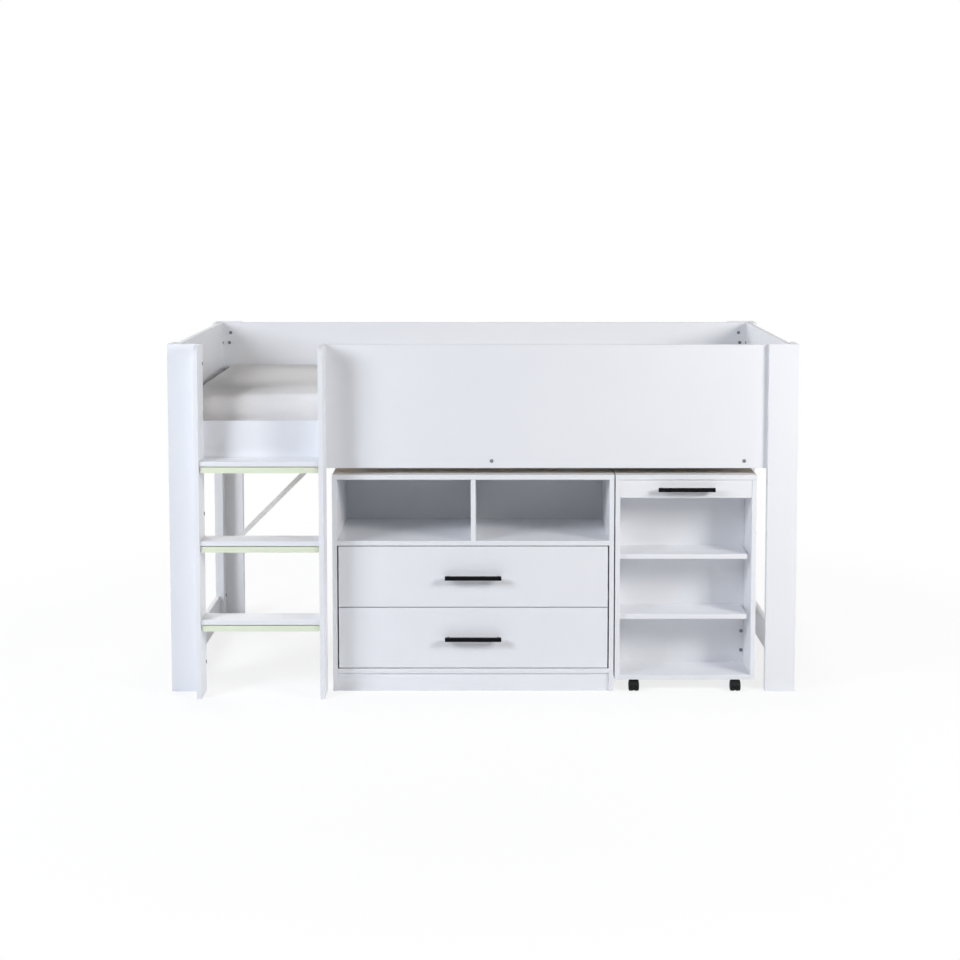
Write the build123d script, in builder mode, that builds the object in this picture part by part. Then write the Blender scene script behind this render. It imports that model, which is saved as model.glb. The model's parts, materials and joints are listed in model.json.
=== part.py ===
from build123d import *
import math
import os

# A cabin bed: a mid-height bed frame with a step ladder, a chest of drawers and a roll-out
# desk that both stand under the mattress. Millimetres, +Z up, the front faces -Y, and the
# origin is under the middle of the whole object, on the floor.

# ---------------------------------------------------------------- boards and fits
BOARD = 15.0  # laminated board of every large panel
DRAWER_BOARD = 12.0  # sides and rear of a drawer box
SHEET = 3.0  # back sheet and drawer bottoms
EDGE = 1.0  # eased edge of every board
REST_GAP = 0.3  # air between a loose or moving piece and what carries it
SPIN_GAP = 0.05  # radial clearance of a shaft in its bore

# ---------------------------------------------------------------- bed frame
BED_LENGTH = 2000.0
BED_DEPTH = 970.0  # from the face of the front posts to the back of the back posts
POST_HEIGHT = 1120.0
POST_LEG = 95.0  # width of each leg of the L-shaped posts
PANEL_DROP = 3.0  # panel tops below the post tops
PANEL_HEIGHT = 395.0
ENTRY_RAIL_HEIGHT = 152.0  # the low stretch of the front panel, behind the ladder
ENTRY_FILLET = 15.0  # inside corner of the L-shaped front panel
ENTRY_REVEAL = 5.0  # tall stretch of the front panel past the right stringer
LOWER_RAIL_HEIGHT = 100.0
CLEAT_DEPTH = 20.0
CLEAT_HEIGHT = 40.0
CLEAT_LIFT = 3.0  # cleats above the panels' lower edge
SLAT_COUNT = 14
SLAT_WIDTH = 70.0
SLAT_THICKNESS = 12.0
SLAT_SIDE_GAP = 5.0  # slat ends to the long panels
SLAT_END_GAP = 20.0  # first and last slat to the end panels

# ---------------------------------------------------------------- back braces
BRACE_WIDTH = 18.0
BRACE_THICKNESS = 4.0
BRACE_ANGLE = 45.0
BRACE_FOOT_INSET = 55.0  # lower screw to the end of the bed
BRACE_FOOT_HEIGHT = 284.0
BRACE_TOP_LIFT = 16.0  # upper screw above the back panel's lower edge
BRACE_POCKET_MARGIN = 2.0  # room around the brace where the cleat passes over it

# ---------------------------------------------------------------- ladder
LADDER_CLEAR = 375.0  # between the stringers
STRINGER_DEPTH = 100.0
STRINGER_NOSE = 30.0  # rounded top front corner
TREAD_COUNT = 3
TOP_TREAD_LIFT = 35.0  # top tread above the panels' lower edge
TREAD_RECESS = 6.0  # tread fronts behind the stringers' front edges
TREAD_BACK_GAP = 2.0  # tread backs to the front panel
TREAD_EDGE = 1.5
GLOW_HEIGHT = 18.0
GLOW_DEPTH = 14.0
GLOW_RECESS = 3.0  # strip behind the tread's front edge
GLOW_NECK_HEIGHT = 3.5  # shadow groove between tread and strip
GLOW_NECK_SETBACK = 5.0
GLOW_END_GAP = 3.0

# ---------------------------------------------------------------- mattress
MATTRESS_THICKNESS = 183.0
MATTRESS_END_GAP = 20.0  # to each end panel
MATTRESS_SIDE_GAP = 5.0  # to the front and back panels
MATTRESS_CORNER = 45.0
MATTRESS_EDGE = 25.0

# ---------------------------------------------------------------- bolts and screws
BOLT_HEAD = 12.0
BOLT_HEAD_HEIGHT = 1.5
BOLT_SHANK = 6.0
BOLT_TIP_COVER = 4.0  # board left beyond the tip of a bolt that joins two boards
SOCKET_WALL = 0.5  # from the corners of the hex socket to the side of the shank
SOCKET_DEPTH = 3.0
SCREW_HEAD = 10.0
SCREW_SHANK = 4.0
SCREW_TIP_COVER = 2.0
HOLE_GAP = 0.1  # radial clearance of a fastener in its hole
HOLE_TIP_GAP = 1.0  # hole beyond the fastener's tip
CLEAT_BOLT_LEFT_INSET = 192.0  # outer cleat bolts to the end panels
CLEAT_BOLT_RIGHT_INSET = 138.0
LOW_BOLT_LIFT = 78.0  # low corner bolts above the panels' lower edge, clear of the cleats
MIDDLE_BOLT_DROP = 75.0  # upper corner bolts below the panel tops
TOP_BOLT_DROP = 38.0
LOW_BOLT_INSET = 25.0  # corner bolts from the inner corner
MIDDLE_BOLT_INSET = 22.0
TOP_BOLT_INSET = 27.0
END_BOLT_INSET = 10.0
PACKER_BOLT_HEIGHT = 92.0
PACKER_BOLT_INSET = 15.0
STRINGER_BOLT_FOOT = 96.0
STRINGER_BOLT_DROP = 62.0  # highest stringer bolt below the post top

# ---------------------------------------------------------------- chest of drawers
UNIT_HEADROOM = 20.0  # between the panels and the tops of the chest and the desk
TOP_OVERHANG = 2.5  # tops of the chest and the desk past what stands under them
LADDER_TO_CHEST = 18.0
CHEST_DEPTH = 380.0
PLINTH_HEIGHT = 59.0
PLINTH_RECESS = 6.0
CUBBY_HEIGHT = 198.0
DRAWER_COUNT = 2
DRAWER_GAP = 3.0  # above, below and between the drawer fronts
DRAWER_SIDE_GAP = 4.5  # beside the drawer fronts
DRAWER_BOX_LIFT = 14.0  # box above the lower edge of its front
DRAWER_BOX_DROP = 31.5  # box below the upper edge of its front
DRAWER_BACK_ROOM = 17.0  # box to the back sheet
DRAWER_BOTTOM_LIFT = 8.0  # bottom sheet above the lower edge of the box
DRAWER_GROOVE = 5.0  # depth of the groove that holds the bottom sheet
RUNNER_SPACE = 13.0  # between the chest side and the drawer box
RUNNER_STEEL = 1.2
RUNNER_WEB = 30.0
RUNNER_AIR = 2.6  # between the lip of one runner and the web of the other
RUNNER_SETBACK = 6.0  # runner behind the back of the drawer front
ROLLER_DIAMETER = 16.0
ROLLER_SETBACK = 2.0  # roller inside the runner's lip
ROLLER_INSET = 12.0

# ---------------------------------------------------------------- bar handles
HANDLE_LENGTH = 180.0
HANDLE_SECTION = 12.0
HANDLE_REACH = 30.0
HANDLE_FOOT = 6.0  # diameter of the two round feet
HANDLE_FOOT_INSET = 10.0  # middle of each foot from the bar's end
HANDLE_EDGE = 0.6

# ---------------------------------------------------------------- roll-out desk
UNIT_GAP = 4.0  # between the chest and the desk
DESK_WIDTH = 450.0
DESK_TO_POST = 33.0
DESK_BACK_ROOM = 86.0  # desk to the back braces
BOOKCASE_INNER = 158.0
APRON_HEIGHT = 59.0
APRON_RECESS = 2.0
DESK_SHELF_COUNT = 2
DESK_UPPER_EXTRA = 4.0  # upper compartment taller than the others
DESK_SHELF_RECESS = 12.0
DESK_SHELF_END_GAP = 11.5  # right end of the shelves to the right side
STRETCHER_HEIGHT = 100.0
STRETCHER_BOTTOM = 75.0
STRETCHER_BOLT_INSET = 18.0  # bolts from the stretcher's edges
FOOT_DEPTH = 60.0  # board under the rear leg that carries the rear castors
CAM_DROP = 10.0  # cams below the apron
CAM_INSET = 11.0  # cams in front of the bookcase's back board

# ---------------------------------------------------------------- castors
CASTOR_HEIGHT = 38.0
CASTOR_WIDTH = 33.0
CASTOR_SIDE_INSET = 62.0
CASTOR_FRONT_INSET = 23.0
CASTOR_TRAIL = 16.0  # axle in front of the stem, as a desk pushed home leaves it
WHEEL_ROUND = 4.0
WHEEL_GAP = 1.0  # between the tyre and the hood
AXLE_RADIUS = 2.0
AXLE_INSET = 2.0  # axle ends inside the wheels' outer faces
WEB_WIDTH = 5.0
WEB_RECESS = 1.5  # web inside the tyre
WEB_SIDE_GAP = 0.5
HOOD_HEADROOM = 2.2  # hood below the face that its stem stands on
HOOD_WALL = 1.5
HOOD_ROUND = 4.0
HOOD_COLLAR_RADIUS = 8.0
HOOD_SKIRT = 2.0  # hood rim above the axle's height
STEM_RADIUS = 4.0
STEM_LENGTH = 11.0

# ---------------------------------------------------------------- planes worked out from the sizes
LADDER_REACH = STRINGER_DEPTH - BOARD
FRONT = LADDER_REACH - (BED_DEPTH + LADDER_REACH) / 2
FRONT_LAYER = FRONT + BOARD
FRONT_INNER = FRONT + 2 * BOARD
UNIT_FRONT = FRONT + TOP_OVERHANG
BACK = FRONT + BED_DEPTH
BACK_LAYER = BACK - BOARD
BACK_INNER = BACK - 2 * BOARD
END = BED_LENGTH / 2
END_LAYER = END - BOARD
END_INNER = END - 2 * BOARD
PANEL_TOP = POST_HEIGHT - PANEL_DROP
PANEL_BOTTOM = PANEL_TOP - PANEL_HEIGHT
ENTRY_RAIL_TOP = PANEL_BOTTOM + ENTRY_RAIL_HEIGHT
CLEAT_BOTTOM = PANEL_BOTTOM + CLEAT_LIFT
CLEAT_TOP = CLEAT_BOTTOM + CLEAT_HEIGHT
SLAT_TOP = CLEAT_TOP + SLAT_THICKNESS
MATTRESS_BOTTOM = SLAT_TOP + REST_GAP
UNIT_HEIGHT = PANEL_BOTTOM - UNIT_HEADROOM
UNIT_TOP_UNDER = UNIT_HEIGHT - BOARD
BOLT_LENGTH = 2 * BOARD - BOLT_TIP_COVER
SCREW_LENGTH = BRACE_THICKNESS + BOARD - SCREW_TIP_COVER
CAM_LENGTH = BOARD - BOLT_TIP_COVER

POST_EDGE = END - POST_LEG
LADDER_LEFT = -POST_EDGE
LADDER_INNER_LEFT = LADDER_LEFT + BOARD
LADDER_INNER_RIGHT = LADDER_INNER_LEFT + LADDER_CLEAR
LADDER_RIGHT = LADDER_INNER_RIGHT + BOARD
LADDER_FRONT = FRONT - LADDER_REACH
TREAD_DEPTH = STRINGER_DEPTH - TREAD_RECESS - TREAD_BACK_GAP
TREAD_RISE = (PANEL_BOTTOM + TOP_TREAD_LIFT) / TREAD_COUNT

DESK_RIGHT = POST_EDGE - DESK_TO_POST
DESK_LEFT = DESK_RIGHT - DESK_WIDTH
CHEST_LEFT = LADDER_RIGHT + LADDER_TO_CHEST
CHEST_RIGHT = DESK_LEFT - UNIT_GAP
CHEST_IN_LEFT = CHEST_LEFT + BOARD
CHEST_IN_RIGHT = CHEST_RIGHT - BOARD
CHEST_MIDDLE = (CHEST_LEFT + CHEST_RIGHT) / 2
CUBBY_FLOOR = UNIT_TOP_UNDER - CUBBY_HEIGHT
DRAWER_SPACE_BOTTOM = PLINTH_HEIGHT + BOARD
DRAWER_SPACE_TOP = CUBBY_FLOOR - BOARD
DRAWER_SPACE = DRAWER_SPACE_TOP - DRAWER_SPACE_BOTTOM
DRAWER_FRONT_HEIGHT = (DRAWER_SPACE - DRAWER_GAP * (DRAWER_COUNT + 1)) / DRAWER_COUNT
DRAWER_BOX_HEIGHT = DRAWER_FRONT_HEIGHT - DRAWER_BOX_LIFT - DRAWER_BOX_DROP
DRAWER_BOX_DEPTH = CHEST_DEPTH - TOP_OVERHANG - SHEET - BOARD - DRAWER_BACK_ROOM
RUNNER_LIP = RUNNER_SPACE - 2 * RUNNER_STEEL - RUNNER_AIR
RUNNER_LENGTH = DRAWER_BOX_DEPTH - RUNNER_SETBACK
ROLLER_WIDTH = RUNNER_LIP - ROLLER_SETBACK

DESK_DEPTH = BED_DEPTH - 2 * BOARD - BRACE_THICKNESS - DESK_BACK_ROOM
DESK_IN_LEFT = DESK_LEFT + BOARD
DESK_IN_RIGHT = DESK_RIGHT - BOARD
DESK_MIDDLE = (DESK_LEFT + DESK_RIGHT) / 2
DESK_FLOOR = CASTOR_HEIGHT + BOARD
APRON_BOTTOM = UNIT_TOP_UNDER - APRON_HEIGHT
DESK_SHELF_SPACE = (APRON_BOTTOM - DESK_FLOOR - DESK_UPPER_EXTRA - DESK_SHELF_COUNT * BOARD) / (
    DESK_SHELF_COUNT + 1
)
BOOKCASE_BACK = FRONT + BOOKCASE_INNER
DESK_REAR = FRONT + DESK_DEPTH

AHEAD = (0, 1, 0)
TOWARDS_FRONT = (0, -1, 0)
RIGHTWARDS = (1, 0, 0)
LEFTWARDS = (-1, 0, 0)

os.makedirs("parts", exist_ok=True)


def save(piece, name):
    """Label one finished sub-part and write its STEP file."""
    piece.label = name
    export_step(piece, f"parts/{name}.step")


def group(*pieces):
    """Keep touching pieces as separate solids of one sub-part."""
    return Compound([solid for piece in pieces for solid in piece.solids()])


def bore(holes, radius, depth):
    """Cut round holes in the open part, each given as a point on a face and a direction."""
    for place, direction in holes:
        with Locations(Plane(place, z_dir=direction).location):
            Cylinder(
                radius, depth, align=(Align.CENTER, Align.CENTER, Align.MIN), mode=Mode.SUBTRACT
            )


def board(low, high, bolts=(), screws=(), edge=EDGE):
    """Make one board between two opposite corners, with eased edges and fastener holes."""
    with BuildPart() as piece:
        with Locations(low):
            Box(*(b - a for a, b in zip(low, high)), align=(Align.MIN, Align.MIN, Align.MIN))
        fillet(piece.edges(), edge)
        bore(bolts, BOLT_SHANK / 2 + HOLE_GAP, BOLT_LENGTH + HOLE_TIP_GAP)
        bore(screws, SCREW_SHANK / 2 + HOLE_GAP, SCREW_LENGTH + HOLE_TIP_GAP)
    return piece.part


def fastener(head, shank, length):
    """Make one fastener at the origin: head below the plane, hex socket, shank along +Z."""
    with BuildPart() as piece:
        with BuildSketch():
            Circle(head / 2)
        extrude(amount=-BOLT_HEAD_HEIGHT)
        chamfer(piece.faces().sort_by(Axis.Z)[0].edges(), BOLT_HEAD_HEIGHT / 4)
        with BuildSketch():
            Circle(shank / 2)
        extrude(amount=length)
        with BuildSketch(Plane.XY.offset(-BOLT_HEAD_HEIGHT)):
            RegularPolygon(shank / 2 - SOCKET_WALL, 6)
        extrude(amount=SOCKET_DEPTH, mode=Mode.SUBTRACT)
    return piece.part


def set_fasteners(holes, piece):
    """Add a copy of a fastener to the open part at each hole."""
    with Locations(*(Plane(place, z_dir=direction).location for place, direction in holes)):
        add(piece)


# ---------------------------------------------------------------- where the fasteners go
first_cleat_bolt = CLEAT_BOLT_LEFT_INSET - END_INNER
last_cleat_bolt = END_INNER - CLEAT_BOLT_RIGHT_INSET
cleat_bolt_places = [first_cleat_bolt, (first_cleat_bolt + last_cleat_bolt) / 2, last_cleat_bolt]
corner_bolt_places = [
    (PANEL_BOTTOM + LOW_BOLT_LIFT, LOW_BOLT_INSET),
    (PANEL_TOP - MIDDLE_BOLT_DROP, MIDDLE_BOLT_INSET),
    (PANEL_TOP - TOP_BOLT_DROP, TOP_BOLT_INSET),
]
cleat_bolt_height = CLEAT_BOTTOM + CLEAT_HEIGHT / 2
front_cleat_bolts = [((x, FRONT_LAYER, cleat_bolt_height), AHEAD) for x in cleat_bolt_places]
back_cleat_bolts = [((x, BACK_LAYER, cleat_bolt_height), TOWARDS_FRONT) for x in cleat_bolt_places]
front_corner_bolts = []
back_corner_bolts = []
end_bolts = {-1: [], 1: []}
packer_bolts = {-1: [], 1: []}
for side in (-1, 1):
    outwards = RIGHTWARDS if side > 0 else LEFTWARDS
    for height, inset in corner_bolt_places:
        corner_x = side * (END_INNER - inset)
        back_corner_bolts.append(((corner_x, BACK_INNER, height), AHEAD))
        if side > 0 or height < ENTRY_RAIL_TOP:
            front_corner_bolts.append(((corner_x, FRONT_INNER, height), TOWARDS_FRONT))
    for corner_y in (FRONT_INNER + END_BOLT_INSET, BACK_INNER - END_BOLT_INSET):
        for height in (PANEL_BOTTOM + LOW_BOLT_LIFT, PANEL_TOP - MIDDLE_BOLT_DROP):
            end_bolts[side].append(((side * END_INNER, corner_y, height), outwards))
    for corner_y in (FRONT_INNER + PACKER_BOLT_INSET, BACK_INNER - PACKER_BOLT_INSET):
        packer_bolts[side].append(((side * END_INNER, corner_y, PACKER_BOLT_HEIGHT), outwards))
last_stringer_bolt = POST_HEIGHT - STRINGER_BOLT_DROP
stringer_bolts = [
    ((LADDER_INNER_LEFT, FRONT + BOARD / 2, height), LEFTWARDS)
    for height in (
        STRINGER_BOLT_FOOT,
        (STRINGER_BOLT_FOOT + last_stringer_bolt) / 2,
        last_stringer_bolt,
    )
]
stringer_panel_bolts = [
    ((LADDER_RIGHT - BOARD / 2, FRONT_INNER, height), TOWARDS_FRONT)
    for height in (PANEL_BOTTOM + LOW_BOLT_LIFT, PANEL_TOP - MIDDLE_BOLT_DROP)
]
BRACE_TOP_HEIGHT = PANEL_BOTTOM + BRACE_TOP_LIFT
BRACE_RUN = (BRACE_TOP_HEIGHT - BRACE_FOOT_HEIGHT) / math.tan(math.radians(BRACE_ANGLE))
BRACE_FOOT_X = END - BRACE_FOOT_INSET
BRACE_TOP_X = BRACE_FOOT_X - BRACE_RUN
BRACE_FACE = BACK_INNER - BRACE_THICKNESS
brace_foot_screws = [((side * BRACE_FOOT_X, BRACE_FACE, BRACE_FOOT_HEIGHT), AHEAD) for side in (-1, 1)]
brace_top_screws = [((side * BRACE_TOP_X, BRACE_FACE, BRACE_TOP_HEIGHT), AHEAD) for side in (-1, 1)]

# ---------------------------------------------------------------- posts and their packers
packers = []
for side, side_name in ((-1, "left"), (1, "right")):
    x_low, x_high = sorted((side * POST_EDGE, side * END))
    layer_low, layer_high = sorted((side * END_LAYER, side * END))
    pack_low, pack_high = sorted((side * POST_EDGE, side * END_LAYER))
    inner_low, inner_high = sorted((side * END_INNER, side * END_LAYER))

    ladder_bolts = stringer_bolts if side < 0 else []
    face_board = board(
        (x_low, FRONT, 0), (x_high, FRONT_LAYER, POST_HEIGHT), front_corner_bolts + ladder_bolts
    )
    side_board = board(
        (layer_low, FRONT_LAYER, 0),
        (layer_high, FRONT + POST_LEG, POST_HEIGHT),
        end_bolts[side] + packer_bolts[side],
    )
    save(group(face_board, side_board), f"post_front_{side_name}")

    face_board = board(
        (x_low, BACK_LAYER, 0), (x_high, BACK, POST_HEIGHT), back_corner_bolts
    )
    side_board = board(
        (layer_low, BACK - POST_LEG, 0),
        (layer_high, BACK_LAYER, POST_HEIGHT),
        end_bolts[side] + packer_bolts[side],
    )
    save(group(face_board, side_board), f"post_back_{side_name}")

    packers += [
        board((pack_low, FRONT_LAYER, 0), (pack_high, FRONT_INNER, PANEL_BOTTOM)),
        board((pack_low, BACK_INNER, 0), (pack_high, BACK_LAYER, PANEL_BOTTOM), (), brace_foot_screws),
        board(
            (inner_low, FRONT_INNER, 0), (inner_high, FRONT + POST_LEG, PANEL_BOTTOM), packer_bolts[side]
        ),
        board(
            (inner_low, BACK - POST_LEG, 0), (inner_high, BACK_INNER, PANEL_BOTTOM), packer_bolts[side]
        ),
    ]
save(group(*packers), "post_packers")

# ---------------------------------------------------------------- panels round the mattress
with BuildPart() as front_side_panel:
    with BuildSketch(Plane.XZ.offset(-FRONT_LAYER)):
        with BuildLine():
            Polyline(
                (-END_LAYER, PANEL_BOTTOM),
                (END_LAYER, PANEL_BOTTOM),
                (END_LAYER, PANEL_TOP),
                (LADDER_INNER_RIGHT - ENTRY_REVEAL, PANEL_TOP),
                (LADDER_INNER_RIGHT - ENTRY_REVEAL, ENTRY_RAIL_TOP),
                (-END_LAYER, ENTRY_RAIL_TOP),
                close=True,
            )
        make_face()
    extrude(amount=-BOARD)
    entry_corner = (
        front_side_panel.edges()
        .filter_by(Axis.Y)
        .sort_by_distance((LADDER_INNER_RIGHT - ENTRY_REVEAL, FRONT_LAYER, ENTRY_RAIL_TOP))[0]
    )
    fillet(entry_corner, ENTRY_FILLET)
    fillet(front_side_panel.edges().filter_by(Axis.Y, reverse=True), EDGE)
    bore(
        front_cleat_bolts + front_corner_bolts + stringer_panel_bolts,
        BOLT_SHANK / 2 + HOLE_GAP,
        BOLT_LENGTH + HOLE_TIP_GAP,
    )
save(front_side_panel.part, "front_side_panel")

back_panel = board(
    (-END_LAYER, BACK_INNER, PANEL_BOTTOM),
    (END_LAYER, BACK_LAYER, PANEL_TOP),
    back_cleat_bolts + back_corner_bolts,
    brace_top_screws,
)
save(back_panel, "back_panel")

for side, side_name in ((-1, "left"), (1, "right")):
    inner_low, inner_high = sorted((side * END_INNER, side * END_LAYER))
    end_panel = board(
        (inner_low, FRONT_INNER, PANEL_BOTTOM), (inner_high, BACK_INNER, PANEL_TOP), end_bolts[side]
    )
    save(end_panel, f"end_panel_{side_name}")

lower_end_rails = [
    board((low, FRONT + POST_LEG, 0), (low + BOARD, BACK - POST_LEG, LOWER_RAIL_HEIGHT))
    for low in (-END, END_LAYER)
]
save(group(*lower_end_rails), "lower_end_rails")

# ---------------------------------------------------------------- cleats, slats and braces
front_cleat = board(
    (-END_INNER, FRONT_INNER, CLEAT_BOTTOM),
    (END_INNER, FRONT_INNER + CLEAT_DEPTH, CLEAT_TOP),
    front_cleat_bolts,
)
pocket_half = (BRACE_WIDTH + BRACE_TOP_LIFT) / 2 + BRACE_WIDTH
pocket_depth = BRACE_THICKNESS + BOLT_HEAD_HEIGHT + BRACE_POCKET_MARGIN
with BuildPart() as back_cleat:
    add(
        board(
            (-END_INNER, BACK_INNER - CLEAT_DEPTH, CLEAT_BOTTOM),
            (END_INNER, BACK_INNER, CLEAT_TOP),
            back_cleat_bolts,
        )
    )
    with Locations(
        *((side * BRACE_TOP_X, BACK_INNER, CLEAT_BOTTOM + CLEAT_HEIGHT / 2) for side in (-1, 1))
    ):
        Box(
            2 * pocket_half,
            pocket_depth,
            CLEAT_HEIGHT,
            align=(Align.CENTER, Align.MAX, Align.CENTER),
            mode=Mode.SUBTRACT,
        )
save(group(front_cleat, back_cleat.part), "slat_cleats")

slat_pitch = (2 * END_INNER - 2 * SLAT_END_GAP - SLAT_WIDTH) / (SLAT_COUNT - 1)
slat_length = BACK_INNER - FRONT_INNER - 2 * SLAT_SIDE_GAP
one_slat = board(
    (-SLAT_WIDTH / 2, -slat_length / 2, 0), (SLAT_WIDTH / 2, slat_length / 2, SLAT_THICKNESS)
)
with BuildPart() as bed_slats:
    with Locations((0, (FRONT_INNER + BACK_INNER) / 2, CLEAT_TOP)):
        with GridLocations(slat_pitch, 1, SLAT_COUNT, 1):
            add(one_slat)
save(bed_slats.part, "bed_slats")

brace_middle_x = (BRACE_FOOT_X + BRACE_TOP_X) / 2
brace_middle_height = (BRACE_FOOT_HEIGHT + BRACE_TOP_HEIGHT) / 2
brace_centres = (BRACE_TOP_HEIGHT - BRACE_FOOT_HEIGHT) / math.sin(math.radians(BRACE_ANGLE))
with BuildPart() as back_braces:
    for side in (-1, 1):
        with BuildSketch(Plane.XZ.offset(-BACK_INNER)):
            with Locations((side * brace_middle_x, brace_middle_height)):
                SlotCenterToCenter(brace_centres, BRACE_WIDTH, rotation=-side * BRACE_ANGLE)
        extrude(amount=BRACE_THICKNESS)
    bore(brace_foot_screws + brace_top_screws, SCREW_SHANK / 2 + HOLE_GAP, BRACE_THICKNESS)
save(back_braces.part, "back_braces")

# ---------------------------------------------------------------- mattress
with BuildPart() as mattress:
    with BuildSketch(Plane((0, (FRONT_INNER + BACK_INNER) / 2, MATTRESS_BOTTOM))):
        RectangleRounded(
            2 * (END_INNER - MATTRESS_END_GAP),
            BACK_INNER - FRONT_INNER - 2 * MATTRESS_SIDE_GAP,
            MATTRESS_CORNER,
        )
    extrude(amount=MATTRESS_THICKNESS)
    fillet(mattress.faces().filter_by(Axis.Z).edges(), MATTRESS_EDGE)
save(mattress.part, "mattress")

# ---------------------------------------------------------------- ladder
for low, bolts, name in (
    (LADDER_LEFT, stringer_bolts, "ladder_stringer_left"),
    (LADDER_INNER_RIGHT, stringer_panel_bolts, "ladder_stringer_right"),
):
    with BuildPart() as stringer:
        with Locations((low, LADDER_FRONT, 0)):
            Box(BOARD, STRINGER_DEPTH, POST_HEIGHT, align=(Align.MIN, Align.MIN, Align.MIN))
        nose = stringer.edges().filter_by(Axis.X).group_by(Axis.Z)[-1].sort_by(Axis.Y)[0]
        fillet(nose, STRINGER_NOSE)
        fillet(stringer.edges().filter_by(Axis.X, reverse=True), EDGE)
        bore(bolts, BOLT_SHANK / 2 + HOLE_GAP, BOLT_LENGTH + HOLE_TIP_GAP)
    save(stringer.part, name)

glow_strips = []
for step, step_name in enumerate(("lower", "middle", "upper")[:TREAD_COUNT]):
    tread_top = (step + 1) * TREAD_RISE
    tread_bottom = tread_top - BOARD
    tread_front = LADDER_FRONT + TREAD_RECESS
    tread = board(
        (LADDER_INNER_LEFT, tread_front, tread_bottom),
        (LADDER_INNER_RIGHT, tread_front + TREAD_DEPTH, tread_top),
        edge=TREAD_EDGE,
    )
    save(tread, f"ladder_tread_{step_name}")

    strip_front = tread_front + GLOW_RECESS
    strip_top = tread_bottom - GLOW_NECK_HEIGHT
    with BuildPart() as strip:
        with BuildSketch(Plane.YZ.offset(LADDER_INNER_LEFT + GLOW_END_GAP)):
            with BuildLine():
                Polyline(
                    (strip_front, strip_top - GLOW_HEIGHT),
                    (strip_front + GLOW_DEPTH, strip_top - GLOW_HEIGHT),
                    (strip_front + GLOW_DEPTH, tread_bottom),
                    (strip_front + GLOW_NECK_SETBACK, tread_bottom),
                    (strip_front + GLOW_NECK_SETBACK, strip_top),
                    (strip_front, strip_top),
                    close=True,
                )
            make_face()
        extrude(amount=LADDER_CLEAR - 2 * GLOW_END_GAP)
    glow_strips.append(strip.part)
save(group(*glow_strips), "glow_strips")

# ---------------------------------------------------------------- bolts of the bed frame
bolt = fastener(BOLT_HEAD, BOLT_SHANK, BOLT_LENGTH)
screw = fastener(SCREW_HEAD, SCREW_SHANK, SCREW_LENGTH)
with BuildPart() as frame_bolts:
    set_fasteners(
        front_cleat_bolts
        + back_cleat_bolts
        + front_corner_bolts
        + back_corner_bolts
        + end_bolts[-1]
        + end_bolts[1]
        + packer_bolts[-1]
        + packer_bolts[1]
        + stringer_bolts
        + stringer_panel_bolts,
        bolt,
    )
save(frame_bolts.part, "frame_bolts")
with BuildPart() as brace_screws:
    set_fasteners(brace_foot_screws + brace_top_screws, screw)
save(brace_screws.part, "brace_screws")

# ---------------------------------------------------------------- chest of drawers: carcass
CARCASS_BACK = FRONT + CHEST_DEPTH - SHEET
save(
    board((CHEST_LEFT, FRONT, UNIT_TOP_UNDER), (CHEST_RIGHT, CARCASS_BACK, UNIT_HEIGHT)), "chest_top"
)
save(
    board((CHEST_LEFT, UNIT_FRONT, 0), (CHEST_IN_LEFT, CARCASS_BACK, UNIT_TOP_UNDER)),
    "chest_side_left",
)
save(
    board((CHEST_IN_RIGHT, UNIT_FRONT, 0), (CHEST_RIGHT, CARCASS_BACK, UNIT_TOP_UNDER)),
    "chest_side_right",
)
save(
    board(
        (CHEST_MIDDLE - BOARD / 2, UNIT_FRONT, CUBBY_FLOOR),
        (CHEST_MIDDLE + BOARD / 2, CARCASS_BACK, UNIT_TOP_UNDER),
    ),
    "chest_divider",
)
save(
    board(
        (CHEST_IN_LEFT, UNIT_FRONT, DRAWER_SPACE_TOP), (CHEST_IN_RIGHT, CARCASS_BACK, CUBBY_FLOOR)
    ),
    "chest_cubby_floor",
)
save(
    board(
        (CHEST_IN_LEFT, UNIT_FRONT, PLINTH_HEIGHT),
        (CHEST_IN_RIGHT, CARCASS_BACK, DRAWER_SPACE_BOTTOM),
    ),
    "chest_bottom",
)
save(
    board(
        (CHEST_IN_LEFT, UNIT_FRONT + PLINTH_RECESS, 0),
        (CHEST_IN_RIGHT, UNIT_FRONT + PLINTH_RECESS + BOARD, PLINTH_HEIGHT),
    ),
    "chest_plinth",
)
with BuildPart(Plane((CHEST_LEFT, CARCASS_BACK, PLINTH_HEIGHT))) as chest_back:
    Box(
        CHEST_RIGHT - CHEST_LEFT,
        SHEET,
        UNIT_HEIGHT - PLINTH_HEIGHT,
        align=(Align.MIN, Align.MIN, Align.MIN),
    )
save(chest_back.part, "chest_back")


def bar_handle(middle_x, face_y, middle_z):
    """Make one square bar handle that stands off a front face on two round feet."""
    front_plane = Plane((middle_x, face_y, middle_z), x_dir=RIGHTWARDS, z_dir=TOWARDS_FRONT)
    with BuildPart() as handle:
        with BuildSketch(front_plane):
            with GridLocations(HANDLE_LENGTH - 2 * HANDLE_FOOT_INSET, 1, 2, 1):
                Circle(HANDLE_FOOT / 2)
        extrude(amount=HANDLE_REACH - HANDLE_SECTION)
        with BuildSketch(front_plane.offset(HANDLE_REACH - HANDLE_SECTION)):
            Rectangle(HANDLE_LENGTH, HANDLE_SECTION)
        extrude(amount=HANDLE_SECTION)
        bar_front = handle.faces().sort_by(Axis.Y)[0]
        fillet(bar_front.edges(), HANDLE_EDGE)
    return handle.part


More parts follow.
